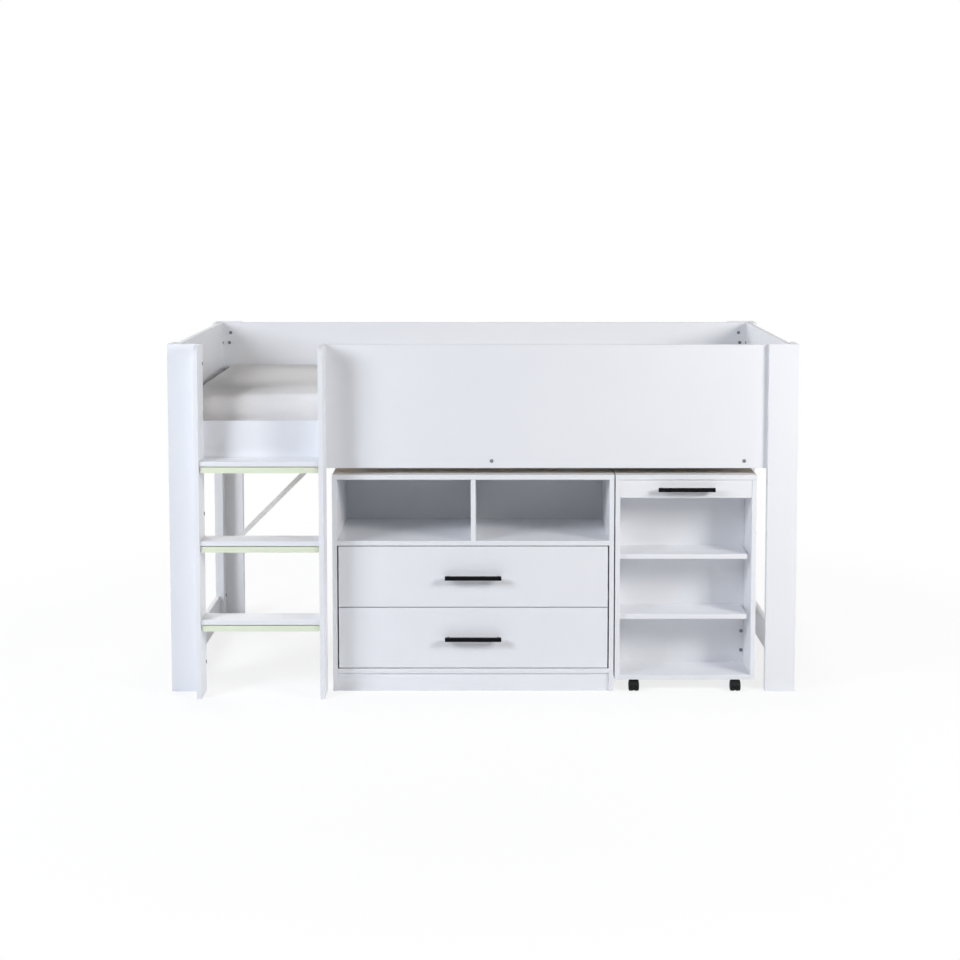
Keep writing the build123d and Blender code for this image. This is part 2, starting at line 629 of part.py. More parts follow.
# ---------------------------------------------------------------- drawers and their runners
BOX_LEFT = CHEST_IN_LEFT + RUNNER_SPACE
BOX_RIGHT = CHEST_IN_RIGHT - RUNNER_SPACE
DRAWER_FRONT_BACK = UNIT_FRONT + BOARD
RUNNER_FRONT = DRAWER_FRONT_BACK + RUNNER_SETBACK
RUNNER_REAR = RUNNER_FRONT + RUNNER_LENGTH
chest_runners = []
for index, drawer_name in enumerate(("lower", "upper")[:DRAWER_COUNT]):
    front_bottom = DRAWER_SPACE_BOTTOM + DRAWER_GAP + index * (DRAWER_FRONT_HEIGHT + DRAWER_GAP)
    front_top = front_bottom + DRAWER_FRONT_HEIGHT
    box_bottom = front_bottom + DRAWER_BOX_LIFT
    box_top = box_bottom + DRAWER_BOX_HEIGHT
    box_rear = DRAWER_FRONT_BACK + DRAWER_BOX_DEPTH
    sheet_bottom = box_bottom + DRAWER_BOTTOM_LIFT

    drawer_front = board(
        (CHEST_IN_LEFT + DRAWER_SIDE_GAP, UNIT_FRONT, front_bottom),
        (CHEST_IN_RIGHT - DRAWER_SIDE_GAP, DRAWER_FRONT_BACK, front_top),
    )
    save(drawer_front, f"drawer_{drawer_name}_front")
    save(
        bar_handle(CHEST_MIDDLE, UNIT_FRONT, (front_bottom + front_top) / 2),
        f"drawer_{drawer_name}_handle",
    )

    sheet_low = (BOX_LEFT + DRAWER_BOARD - DRAWER_GROOVE, DRAWER_FRONT_BACK, sheet_bottom)
    sheet_high = (
        BOX_RIGHT - DRAWER_BOARD + DRAWER_GROOVE,
        box_rear - DRAWER_BOARD + DRAWER_GROOVE,
        sheet_bottom + SHEET,
    )
    sheet_size = [b - a for a, b in zip(sheet_low, sheet_high)]
    box_walls = []
    for wall_low, wall_high in (
        ((BOX_LEFT, DRAWER_FRONT_BACK), (BOX_LEFT + DRAWER_BOARD, box_rear)),
        ((BOX_RIGHT - DRAWER_BOARD, DRAWER_FRONT_BACK), (BOX_RIGHT, box_rear)),
        ((BOX_LEFT + DRAWER_BOARD, box_rear - DRAWER_BOARD), (BOX_RIGHT - DRAWER_BOARD, box_rear)),
    ):
        with BuildPart() as wall:
            add(board((*wall_low, box_bottom), (*wall_high, box_top)))
            with Locations(sheet_low):
                Box(*sheet_size, align=(Align.MIN, Align.MIN, Align.MIN), mode=Mode.SUBTRACT)
        box_walls.append(wall.part)
    save(group(*box_walls), f"drawer_{drawer_name}_box")

    with BuildPart(Plane(sheet_low)) as drawer_bottom:
        Box(*sheet_size, align=(Align.MIN, Align.MIN, Align.MIN))
    save(drawer_bottom.part, f"drawer_{drawer_name}_bottom")

    drawer_slides = []
    for side, side_face, box_face in ((1, CHEST_IN_LEFT, BOX_LEFT), (-1, CHEST_IN_RIGHT, BOX_RIGHT)):
        track = box_bottom + RUNNER_STEEL
        roller_height = track + REST_GAP + ROLLER_DIAMETER / 2
        lip_bottom = roller_height + ROLLER_DIAMETER / 2 + REST_GAP

        with BuildPart() as cabinet_runner:
            with BuildSketch(Plane.XZ.offset(-RUNNER_FRONT)):
                with BuildLine():
                    Polyline(
                        (side_face, box_bottom),
                        (side_face + side * (RUNNER_STEEL + RUNNER_LIP), box_bottom),
                        (side_face + side * (RUNNER_STEEL + RUNNER_LIP), track),
                        (side_face + side * RUNNER_STEEL, track),
                        (side_face + side * RUNNER_STEEL, box_bottom + RUNNER_WEB),
                        (side_face, box_bottom + RUNNER_WEB),
                        close=True,
                    )
                make_face()
            extrude(amount=-RUNNER_LENGTH)
        roller_plane = Plane(
            (side_face + side * RUNNER_STEEL, RUNNER_FRONT + ROLLER_INSET, roller_height),
            z_dir=(side, 0, 0),
        )
        with BuildPart() as cabinet_roller:
            with BuildSketch(roller_plane):
                Circle(ROLLER_DIAMETER / 2)
            extrude(amount=ROLLER_WIDTH)
        chest_runners += [cabinet_runner.part, cabinet_roller.part]

        with BuildPart() as drawer_runner:
            with BuildSketch(Plane.XZ.offset(-RUNNER_FRONT)):
                with BuildLine():
                    Polyline(
                        (box_face, track + REST_GAP),
                        (box_face, track + RUNNER_WEB),
                        (box_face - side * RUNNER_STEEL, track + RUNNER_WEB),
                        (box_face - side * RUNNER_STEEL, lip_bottom + RUNNER_STEEL),
                        (box_face - side * (RUNNER_STEEL + RUNNER_LIP), lip_bottom + RUNNER_STEEL),
                        (box_face - side * (RUNNER_STEEL + RUNNER_LIP), lip_bottom),
                        (box_face - side * RUNNER_STEEL, lip_bottom),
                        (box_face - side * RUNNER_STEEL, track + REST_GAP),
                        close=True,
                    )
                make_face()
            extrude(amount=-(box_rear - RUNNER_FRONT))
        rear_roller_plane = Plane(
            (box_face - side * RUNNER_STEEL, box_rear - ROLLER_INSET, roller_height),
            z_dir=(-side, 0, 0),
        )
        with BuildPart() as drawer_roller:
            with BuildSketch(rear_roller_plane):
                Circle(ROLLER_DIAMETER / 2)
            extrude(amount=ROLLER_WIDTH)
        drawer_slides += [drawer_runner.part, drawer_roller.part]
    save(group(*drawer_slides), f"drawer_{drawer_name}_slides")
save(group(*chest_runners), "chest_runners")

# ---------------------------------------------------------------- roll-out desk
stretcher_middle = DESK_IN_RIGHT - BOARD / 2
stretcher_bolts = [
    ((stretcher_middle, BOOKCASE_BACK, height), AHEAD)
    for height in (
        STRETCHER_BOTTOM + STRETCHER_BOLT_INSET,
        STRETCHER_BOTTOM + STRETCHER_HEIGHT - STRETCHER_BOLT_INSET,
    )
]
cam_place = (BOOKCASE_BACK - CAM_INSET, APRON_BOTTOM - CAM_DROP)
side_cams = [((DESK_IN_LEFT, *cam_place), LEFTWARDS), ((DESK_IN_RIGHT, *cam_place), RIGHTWARDS)]
FRONT_CASTOR_Y = UNIT_FRONT + CASTOR_FRONT_INSET
REAR_CASTOR_Y = DESK_REAR - BOARD - FOOT_DEPTH / 2
STEM_HOLE_DEPTH = STEM_LENGTH + HOLE_TIP_GAP
castor_places = {
    f"{row_name}_{side_name}": (DESK_MIDDLE + side * (DESK_WIDTH / 2 - CASTOR_SIDE_INSET), castor_y)
    for row_name, castor_y in (("front", FRONT_CASTOR_Y), ("rear", REAR_CASTOR_Y))
    for side, side_name in ((-1, "left"), (1, "right"))
}
stem_holes = [((x, y, CASTOR_HEIGHT), (0, 0, 1)) for x, y in castor_places.values()]


def castor_board(low, high):
    """Make a board with the blind sockets for the castor stems that stand under it."""
    with BuildPart() as piece:
        add(board(low, high))
        bore(stem_holes, STEM_RADIUS + SPIN_GAP, STEM_HOLE_DEPTH)
    return piece.part


def cam_drilled(low, high):
    """Make a bookcase side with its blind hole for the cam."""
    with BuildPart() as piece:
        add(board(low, high))
        bore(side_cams, BOLT_SHANK / 2 + HOLE_GAP, CAM_LENGTH + HOLE_TIP_GAP)
    return piece.part


BOOKCASE_REAR = BOOKCASE_BACK + BOARD
save(board((DESK_LEFT, FRONT, UNIT_TOP_UNDER), (DESK_RIGHT, DESK_REAR, UNIT_HEIGHT)), "desk_top")
save(
    cam_drilled((DESK_LEFT, UNIT_FRONT, CASTOR_HEIGHT), (DESK_IN_LEFT, BOOKCASE_REAR, UNIT_TOP_UNDER)),
    "desk_side_left",
)
save(
    cam_drilled((DESK_IN_RIGHT, UNIT_FRONT, CASTOR_HEIGHT), (DESK_RIGHT, BOOKCASE_REAR, UNIT_TOP_UNDER)),
    "desk_side_right",
)
apron_front = UNIT_FRONT + APRON_RECESS
save(
    board(
        (DESK_IN_LEFT, apron_front, APRON_BOTTOM),
        (DESK_IN_RIGHT, apron_front + BOARD, UNIT_TOP_UNDER),
    ),
    "desk_apron",
)
save(bar_handle(DESK_MIDDLE, apron_front, APRON_BOTTOM + APRON_HEIGHT / 2), "desk_handle")
desk_shelves = [
    board(
        (DESK_IN_LEFT, UNIT_FRONT + DESK_SHELF_RECESS, shelf_top - BOARD),
        (DESK_IN_RIGHT - DESK_SHELF_END_GAP, BOOKCASE_BACK, shelf_top),
    )
    for shelf_top in (
        DESK_FLOOR + (shelf + 1) * (DESK_SHELF_SPACE + BOARD) for shelf in range(DESK_SHELF_COUNT)
    )
]
save(group(*desk_shelves), "desk_shelves")
save(
    castor_board((DESK_IN_LEFT, UNIT_FRONT, CASTOR_HEIGHT), (DESK_IN_RIGHT, BOOKCASE_BACK, DESK_FLOOR)),
    "desk_bottom",
)
save(
    board(
        (DESK_IN_LEFT, BOOKCASE_BACK, CASTOR_HEIGHT),
        (DESK_IN_RIGHT, BOOKCASE_REAR, UNIT_TOP_UNDER),
        stretcher_bolts,
    ),
    "desk_back",
)
leg_front = DESK_REAR - BOARD
rear_leg = board((DESK_LEFT, leg_front, CASTOR_HEIGHT), (DESK_RIGHT, DESK_REAR, UNIT_TOP_UNDER))
foot_board = castor_board(
    (DESK_LEFT, leg_front - FOOT_DEPTH, CASTOR_HEIGHT), (DESK_RIGHT, leg_front, DESK_FLOOR)
)
save(group(rear_leg, foot_board), "desk_rear_leg")
save(
    board(
        (DESK_IN_RIGHT - BOARD, BOOKCASE_REAR, STRETCHER_BOTTOM),
        (DESK_IN_RIGHT, leg_front, STRETCHER_BOTTOM + STRETCHER_HEIGHT),
        stretcher_bolts,
    ),
    "desk_stretcher",
)
cam = fastener(BOLT_HEAD, BOLT_SHANK, CAM_LENGTH)
with BuildPart() as desk_cams:
    set_fasteners(stretcher_bolts, bolt)
    set_fasteners(side_cams, cam)
save(desk_cams.part, "desk_cams")

# ---------------------------------------------------------------- castors
HOOD_TOP = CASTOR_HEIGHT - REST_GAP
WHEEL_RADIUS = (HOOD_TOP - HOOD_HEADROOM - HOOD_WALL - WHEEL_GAP) / 2
HOOD_INNER = WHEEL_RADIUS + WHEEL_GAP
HOOD_OUTER = HOOD_INNER + HOOD_WALL
AXLE_Y = -CASTOR_TRAIL
wheel_width = CASTOR_WIDTH / 2 - WEB_WIDTH / 2 - WEB_SIDE_GAP
wheel_inner = WEB_WIDTH / 2 + WEB_SIDE_GAP
with BuildPart() as hood:
    with BuildSketch(Plane.YZ.offset(-CASTOR_WIDTH / 2)):
        with Locations((AXLE_Y, WHEEL_RADIUS)):
            Circle(HOOD_OUTER)
    extrude(amount=CASTOR_WIDTH)
    fillet(hood.edges().filter_by(GeomType.CIRCLE), HOOD_ROUND)
    with BuildSketch(Plane.XY.offset(WHEEL_RADIUS)):
        Circle(HOOD_COLLAR_RADIUS)
    extrude(amount=HOOD_TOP - WHEEL_RADIUS)
    with BuildSketch(Plane.XY.offset(WHEEL_RADIUS + HOOD_SKIRT)):
        with Locations((0, AXLE_Y)):
            Rectangle(2 * CASTOR_WIDTH, 4 * HOOD_OUTER)
    extrude(amount=-2 * WHEEL_RADIUS, mode=Mode.SUBTRACT)
    with BuildSketch(Plane.YZ.offset(-WEB_WIDTH / 2)):
        with Locations((AXLE_Y, WHEEL_RADIUS)):
            Circle(WHEEL_RADIUS - WEB_RECESS)
    extrude(amount=WEB_WIDTH)
    for side in (-1, 1):
        with BuildSketch(Plane((side * WEB_WIDTH / 2, AXLE_Y, WHEEL_RADIUS), z_dir=(side, 0, 0))):
            Circle(HOOD_INNER)
        extrude(amount=CASTOR_WIDTH, mode=Mode.SUBTRACT)
    bore(
        [((-WEB_WIDTH, AXLE_Y, WHEEL_RADIUS), RIGHTWARDS)], AXLE_RADIUS + SPIN_GAP, 2 * WEB_WIDTH
    )
    with BuildSketch(Plane.XY.offset(HOOD_TOP)):
        Circle(STEM_RADIUS)
    extrude(amount=STEM_LENGTH + REST_GAP)

axle_half = CASTOR_WIDTH / 2 - AXLE_INSET
with BuildPart() as axle:
    with BuildSketch(Plane((-axle_half, AXLE_Y, WHEEL_RADIUS), z_dir=RIGHTWARDS)):
        Circle(AXLE_RADIUS)
    extrude(amount=2 * axle_half)

wheels = []
for side in (-1, 1):
    with BuildPart() as wheel:
        with BuildSketch(Plane((side * wheel_inner, AXLE_Y, WHEEL_RADIUS), z_dir=(side, 0, 0))):
            Circle(WHEEL_RADIUS)
        extrude(amount=wheel_width)
        outer_face = wheel.faces().sort_by(Axis.X)[0 if side < 0 else -1]
        fillet(outer_face.edges(), WHEEL_ROUND)
        with BuildSketch(Plane((side * wheel_inner, AXLE_Y, WHEEL_RADIUS), z_dir=(side, 0, 0))):
            Circle(AXLE_RADIUS)
        extrude(amount=axle_half - wheel_inner, mode=Mode.SUBTRACT)
    wheels.append(wheel.part)
wheel_pair = group(axle.part, *wheels)

for castor_name, (castor_x, castor_y) in castor_places.items():
    spot = Location((castor_x, castor_y, 0))
    save(hood.part.moved(spot), f"castor_hood_{castor_name}")
    save(wheel_pair.moved(spot), f"castor_wheels_{castor_name}")
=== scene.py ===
"""Dress the cabin bed: ladder, chest of drawers, roll-out desk and mattress.

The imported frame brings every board, bolt, runner, handle and castor in metres, in its own
place. This script gives each of them its finish, replaces the plain mattress block by a soft
one, adds the small hardware that the boards carry, and sets up the floor, lamps and camera.
"""

import json
import logging
import math
from abc import ABC, abstractmethod
from dataclasses import dataclass, field
from enum import Enum

import bmesh
import bpy
from mathutils import Matrix, Vector, noise


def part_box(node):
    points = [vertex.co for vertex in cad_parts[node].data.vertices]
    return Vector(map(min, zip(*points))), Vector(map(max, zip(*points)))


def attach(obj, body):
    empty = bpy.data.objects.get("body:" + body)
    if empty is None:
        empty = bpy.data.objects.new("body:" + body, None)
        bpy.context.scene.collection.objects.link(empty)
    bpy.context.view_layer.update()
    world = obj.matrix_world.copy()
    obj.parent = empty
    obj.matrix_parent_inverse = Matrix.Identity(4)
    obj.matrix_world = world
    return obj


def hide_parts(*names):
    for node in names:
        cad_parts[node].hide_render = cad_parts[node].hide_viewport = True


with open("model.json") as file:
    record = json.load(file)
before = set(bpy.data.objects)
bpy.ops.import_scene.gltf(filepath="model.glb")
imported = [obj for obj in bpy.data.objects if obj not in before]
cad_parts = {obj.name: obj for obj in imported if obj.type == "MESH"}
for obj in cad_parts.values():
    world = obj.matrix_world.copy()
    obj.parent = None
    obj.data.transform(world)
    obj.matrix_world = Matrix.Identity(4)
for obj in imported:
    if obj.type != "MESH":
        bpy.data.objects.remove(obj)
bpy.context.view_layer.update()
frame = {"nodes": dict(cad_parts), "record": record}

MILLI = 0.001
WHITE = "#FFFFFF"

log = logging.getLogger("cabin_bed")


# ------------------------------------------------------------------ node helpers
def linear(hex_colour: str) -> tuple[float, float, float, float]:
    """Turn an sRGB hex colour into linear RGBA.

    Args:
        hex_colour: colour such as "#E9EDF2".

    Returns:
        Linear red, green, blue and an alpha of 1.
    """
    channels = [int(hex_colour[i : i + 2], 16) / 255 for i in (1, 3, 5)]
    return (
        *(c / 12.92 if c <= 0.04045 else ((c + 0.055) / 1.055) ** 2.4 for c in channels),
        1.0,
    )


def add_node(
    tree: bpy.types.NodeTree, kind: str, inputs: dict | None = None, **settings: object
) -> bpy.types.Node:
    """Add one node with its settings, values and links.

    Args:
        tree: shader or geometry tree that takes the node.
        kind: Blender's name of the node type.
        inputs: value or output socket for each input, by name or number.
        **settings: attributes of the node itself.

    Returns:
        The new node.
    """
    node = tree.nodes.new(kind)
    for attribute, value in settings.items():
        setattr(node, attribute, value)
    for socket, value in (inputs or {}).items():
        if isinstance(value, bpy.types.NodeSocket):
            tree.links.new(value, node.inputs[socket])
        else:
            node.inputs[socket].default_value = value
    return node


def compute(tree: bpy.types.NodeTree, operation: str, *operands: object) -> bpy.types.NodeSocket:
    """Return what an operation makes of sockets or numbers."""
    return add_node(
        tree, "ShaderNodeMath", dict(enumerate(operands)), operation=operation
    ).outputs[0]


# ------------------------------------------------------------------ finishes
FIBRE_STRETCH = 22.0  # how many times longer than wide the marks in wood are
BAND_REPEAT = 0.314  # Blender's wave bands repeat at this distance at a scale of 1
NOISE_LOW, NOISE_HIGH = 0.3, 0.7  # the range that most of Blender's noise lies in
MIX_FIRST, MIX_SECOND, MIX_RESULT = 6, 7, 2  # the Mix node's sockets for colours


class Grain(Enum):
    """Direction in which sawn wood's fibres run, as the pattern's scale along X, Y and Z."""

    ALONG_BED = (1.0, FIBRE_STRETCH, FIBRE_STRETCH)
    ACROSS_BED = (FIBRE_STRETCH, 1.0, FIBRE_STRETCH)


@dataclass(frozen=True)
class Finish(ABC):
    """One surface finish, made into a material the first time that it is used."""

    name: str
    slot: str

    @abstractmethod
    def build(self, tree: bpy.types.NodeTree, place: bpy.types.NodeSocket) -> bpy.types.Node:
        """Build the shader.

        Args:
            tree: the material's node tree, empty but for its output.
            place: object coordinates in metres.

        Returns:
            The Principled shader node.
        """

    def material(self) -> bpy.types.Material:
        """Return this finish's material, made on first use."""
        made = bpy.data.materials.get(self.name)
        if made:
            return made
        made = bpy.data.materials.new(self.name)
        made.use_nodes = True
        tree = made.node_tree
        tree.nodes.clear()
        place = add_node(tree, "ShaderNodeTexCoord").outputs["Object"]
        shader = self.build(tree, place)
        add_node(tree, "ShaderNodeOutputMaterial", {"Surface": shader.outputs[0]})
        return made

    def dress(self, piece: bpy.types.Object) -> None:
        """Put this finish in every material slot of a piece."""
        if not piece.material_slots:
            piece.data.materials.append(self.material())
        for material_slot in piece.material_slots:
            material_slot.material = self.material()


def cloudy(
    tree: bpy.types.NodeTree,
    place: bpy.types.NodeSocket,
    size_mm: float,
    detail: float = 2.0,
    distortion: float = 0.0,
) -> bpy.types.NodeSocket:
    """Return noise whose clouds are about size_mm wide."""
    return add_node(
        tree,
        "ShaderNodeTexNoise",
        {"Vector": place, "Scale": 1 / (size_mm * MILLI), "Detail": detail,
         "Distortion": distortion},
    ).outputs["Fac"]


def between(
    tree: bpy.types.NodeTree, factor: bpy.types.NodeSocket, first: str, second: str
) -> bpy.types.NodeSocket:
    """Return a colour that goes from the first hex colour to the second with the factor."""
    mix = add_node(
        tree,
        "ShaderNodeMix",
        {"Factor": factor, MIX_FIRST: linear(first), MIX_SECOND: linear(second)},
        data_type="RGBA",
    )
    return mix.outputs[MIX_RESULT]


def ranged(
    tree: bpy.types.NodeTree, value: bpy.types.NodeSocket, low: float, high: float
) -> bpy.types.NodeSocket:
    """Return a noise value stretched to run from low to high."""
    return add_node(
        tree,
        "ShaderNodeMapRange",
        {"Value": value, "From Min": NOISE_LOW, "From Max": NOISE_HIGH,
         "To Min": low, "To Max": high},
    ).outputs["Result"]


def relief(
    tree: bpy.types.NodeTree, height: bpy.types.NodeSocket, depth_mm: float, strength: float = 1.0
) -> bpy.types.NodeSocket:
    """Return a bumped normal of the given depth."""
    return add_node(
        tree,
        "ShaderNodeBump",
        {"Height": height, "Distance": depth_mm * MILLI, "Strength": strength},
    ).outputs["Normal"]


@dataclass(frozen=True)
class MelamineBoard(Finish):
    """Melamine-faced chipboard, pressed against a fine pearl plate: satin, faintly dimpled."""

    light: str = "#F5F6F9"
    shade: str = "#F0F2F6"
    pearl_mm: float = 2.2  # the real pearl is about 0.8 mm, drawn coarser so that it shows
    sheen_mm: float = 30.0
    drift_mm: float = 240.0
    smooth: float = 0.36
    rough: float = 0.46

    def build(self, tree: bpy.types.NodeTree, place: bpy.types.NodeSocket) -> bpy.types.Node:
        """Build the satin shader with its pearl relief."""
        pearl = cloudy(tree, place, self.pearl_mm, detail=3.0)
        drift = cloudy(tree, place, self.drift_mm)
        sheen = cloudy(tree, place, self.sheen_mm)
        return add_node(
            tree,
            "ShaderNodeBsdfPrincipled",
            {
                "Base Color": between(tree, drift, self.light, self.shade),
                "Roughness": ranged(tree, sheen, self.smooth, self.rough),
                "Normal": relief(tree, pearl, depth_mm=0.03, strength=0.5),
                "IOR": 1.5,
                "Specular IOR Level": 0.45,
            },
        )


@dataclass(frozen=True)
class PaintedHardboard(Finish):
    """Thin hardboard, roller-painted: flatter and rougher than the boards, with fibre relief."""

    light: str = "#ECEEF1"
    shade: str = "#E4E7EA"
    fibre_mm: float = 1.6

    def build(self, tree: bpy.types.NodeTree, place: bpy.types.NodeSocket) -> bpy.types.Node:
        """Build the flat painted shader."""
        fibre = cloudy(tree, place, self.fibre_mm, detail=5.0)
        return add_node(
            tree,
            "ShaderNodeBsdfPrincipled",
            {
                "Base Color": between(tree, fibre, self.light, self.shade),
                "Roughness": ranged(tree, fibre, low=0.55, high=0.7),
                "Normal": relief(tree, fibre, depth_mm=0.06, strength=0.6),
                "IOR": 1.48,
            },
        )


@dataclass(frozen=True)
class PlanedPine(Finish):
    """Planed softwood: pale early wood with darker growth lines along the fibres."""

    grain: Grain = Grain.ACROSS_BED
    early: str = "#F0E0C0"
    late: str = "#DCC194"
    ring_mm: float = 7.0
    fibre_mm: float = 1.2

    def build(self, tree: bpy.types.NodeTree, place: bpy.types.NodeSocket) -> bpy.types.Node:
        """Build the wood shader with lines stretched along the fibres."""
        stretched = add_node(
            tree, "ShaderNodeMapping", {"Vector": place, "Scale": self.grain.value}
        ).outputs["Vector"]
        lines = cloudy(tree, stretched, self.ring_mm * FIBRE_STRETCH, detail=4.0, distortion=0.6)
        rings = ranged(tree, lines, low=0.0, high=1.0)
        fibre = cloudy(tree, stretched, self.fibre_mm * FIBRE_STRETCH, detail=3.0)
        return add_node(
            tree,
            "ShaderNodeBsdfPrincipled",
            {
                "Base Color": between(tree, rings, self.early, self.late),
                "Roughness": ranged(tree, fibre, low=0.5, high=0.68),
                "Normal": relief(tree, fibre, depth_mm=0.08, strength=0.5),
                "IOR": 1.5,
            },
        )


@dataclass(frozen=True)
class PowderCoat(Finish):
    """Powder-coated metal: an even film with fine orange peel."""

    film: str = "#050507"
    worn: str = "#0A0A0D"
    peel_mm: float = 1.4
    smooth: float = 0.5
    rough: float = 0.62
    gloss: float = 0.1

    def build(self, tree: bpy.types.NodeTree, place: bpy.types.NodeSocket) -> bpy.types.Node:
        """Build the coated shader."""
        peel = cloudy(tree, place, self.peel_mm)
        return add_node(
            tree,
            "ShaderNodeBsdfPrincipled",
            {
                "Base Color": between(tree, peel, self.film, self.worn),
                "Roughness": ranged(tree, peel, self.smooth, self.rough),
                "Normal": relief(tree, peel, depth_mm=0.05, strength=0.6),
                "IOR": 1.5,
                "Specular IOR Level": self.gloss,
            },
        )


@dataclass(frozen=True)
class ZincPlate(Finish):
    """Zinc-plated steel: a dull bluish metal with cloudy passivation."""

    bright: str = "#9A9DA3"
    dull: str = "#70747A"
    cloud_mm: float = 3.0
    grain_mm: float = 0.8

    def build(self, tree: bpy.types.NodeTree, place: bpy.types.NodeSocket) -> bpy.types.Node:
        """Build the plated metal shader."""
        cloud = cloudy(tree, place, self.cloud_mm, detail=4.0)
        grain = cloudy(tree, place, self.grain_mm)
        return add_node(
            tree,
            "ShaderNodeBsdfPrincipled",
            {
                "Base Color": between(tree, cloud, self.bright, self.dull),
                "Metallic": 1.0,
                "Roughness": ranged(tree, cloud, low=0.3, high=0.45),
                "Normal": relief(tree, grain, depth_mm=0.02, strength=0.5),
            },
        )


@dataclass(frozen=True)
class GlowStrip(Finish):
    """Luminous plastic, unlit: pale green, slightly translucent, with fine pigment grains."""

    light: str = "#EFF5E0"
    shade: str = "#E6EFD4"
    grain_mm: float = 1.2

    def build(self, tree: bpy.types.NodeTree, place: bpy.types.NodeSocket) -> bpy.types.Node:
        """Build the translucent plastic shader."""
        grains = cloudy(tree, place, self.grain_mm, detail=4.0)
        return add_node(
            tree,
            "ShaderNodeBsdfPrincipled",
            {
                "Base Color": between(tree, grains, self.light, self.shade),
                "Roughness": ranged(tree, grains, low=0.45, high=0.6),
                "Subsurface Weight": 0.25,
                "Subsurface Radius": (0.004, 0.005, 0.003),
                "Subsurface Scale": 1.0,
                "Normal": relief(tree, grains, depth_mm=0.03, strength=0.4),
                "IOR": 1.46,
            },
        )


@dataclass(frozen=True)
class CottonSheet(Finish):
    """Plain-weave cotton: unbleached off-white, matt, crossed threads and soft slubs."""

    light: str = "#FBF8F7"
    shade: str = "#F4F1EF"
    thread_mm: float = 2.4  # real threads are about 0.4 mm, drawn coarser so that they show
    slub_mm: float = 9.0
    thread_share: float = 0.3  # height of the threads beside that of the slubs

    def build(self, tree: bpy.types.NodeTree, place: bpy.types.NodeSocket) -> bpy.types.Node:
        """Build the woven shader, with threads along all three axes."""
        woven = None
        for axis in "XYZ":
            threads = add_node(
                tree,
                "ShaderNodeTexWave",
                {"Vector": place, "Scale": BAND_REPEAT / (self.thread_mm * MILLI),
                 "Distortion": 0.6, "Detail": 1.0, "Detail Scale": 1.5},
                bands_direction=axis,
            ).outputs["Fac"]
            woven = threads if woven is None else compute(tree, "ADD", woven, threads)
        slub = cloudy(tree, place, self.slub_mm, detail=4.0)
        height = compute(tree, "MULTIPLY_ADD", woven, self.thread_share, slub)
        return add_node(
            tree,
            "ShaderNodeBsdfPrincipled",
            {
                "Base Color": between(tree, slub, self.light, self.shade),
                "Roughness": 0.92,
                "Sheen Weight": 0.1,
                "Sheen Roughness": 0.6,
                "Normal": relief(tree, height, depth_mm=0.25, strength=0.5),
                "IOR": 1.45,
                "Specular IOR Level": 0.3,
            },
        )


@dataclass(frozen=True)
class MouldedNylon(Finish):
    """Injection-moulded black nylon: dull, with a fine spark-eroded texture."""

    light: str = "#0D0D0F"
    shade: str = "#070709"
    spark_mm: float = 0.9

    def build(self, tree: bpy.types.NodeTree, place: bpy.types.NodeSocket) -> bpy.types.Node:
        """Build the moulded plastic shader."""
        texture = cloudy(tree, place, self.spark_mm, detail=3.0)
        return add_node(
            tree,
            "ShaderNodeBsdfPrincipled",
            {
                "Base Color": between(tree, texture, self.light, self.shade),
                "Roughness": ranged(tree, texture, low=0.42, high=0.56),
                "Normal": relief(tree, texture, depth_mm=0.04, strength=0.5),
                "IOR": 1.53,
                "Specular IOR Level": 0.2,
            },
        )


WHITE_BOARD = MelamineBoard("white melamine board", "white_board")
WHITE_SHEET = PaintedHardboard("white painted hardboard", "white_sheet")
SLAT_PINE = PlanedPine("planed pine across the bed", "slat_wood", Grain.ACROSS_BED)
CLEAT_PINE = PlanedPine("planed pine along the bed", "slat_wood", Grain.ALONG_BED)
BRACE_COAT = PowderCoat(
    "off-white powder coat", "brace_metal", "#F0EFEC", "#E8E7E4",
    smooth=0.38, rough=0.5, gloss=0.5,
)
RUNNER_COAT = PowderCoat(
    "white epoxy coated steel", "runner_steel", "#ECEDEF", "#E3E5E7",
    smooth=0.3, rough=0.42, gloss=0.5,
)
HANDLE_COAT = PowderCoat("black powder coat", "black_metal")
BOLT_ZINC = ZincPlate("zinc-plated steel", "bolt_steel")
GLOW_PLASTIC = GlowStrip("luminous plastic", "glow_plastic")
COTTON = CottonSheet("woven cotton", "mattress_fabric")
NYLON = MouldedNylon("moulded black nylon", "castor_plastic")

FINISH_OF_SLOT = {
    finish.slot: finish
    for finish in (WHITE_BOARD, WHITE_SHEET, SLAT_PINE, BRACE_COAT, RUNNER_COAT, HANDLE_COAT,
                   BOLT_ZINC, GLOW_PLASTIC, COTTON, NYLON)
}


# ------------------------------------------------------------------ piece helpers
def new_piece(name: str, mesh: bpy.types.Mesh) -> bpy.types.Object:
    """Link a mesh to the scene as an object at the origin.

    Args:
        name: name of the object and its mesh.
        mesh: the finished mesh.

    Returns:
        The new object.
    """
    piece = bpy.data.objects.new(name, mesh)
    mesh.name = name
    bpy.context.scene.collection.objects.link(piece)
    return piece


def finish_piece(piece: bpy.types.Object, finish: Finish, body: str) -> None:
    """Give a piece its finish and the body that it rides on.

    Args:
        piece: object at the origin.
        finish: surface finish.
        body: name of the frame's body.
    """
    finish.dress(piece)
    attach(piece, body)
    log.info("%s: %d faces on %s", piece.name, len(piece.data.polygons), body)


@dataclass(frozen=True)
class Place:
    """A point on a surface and the way that the surface faces."""

    point: tuple[float, float, float]
    facing: tuple[float, float, float]


@dataclass(frozen=True)
class TreeInput:
    """One named size that a geometry tree takes."""

    name: str
    value: float
    kind: str = "NodeSocketFloat"


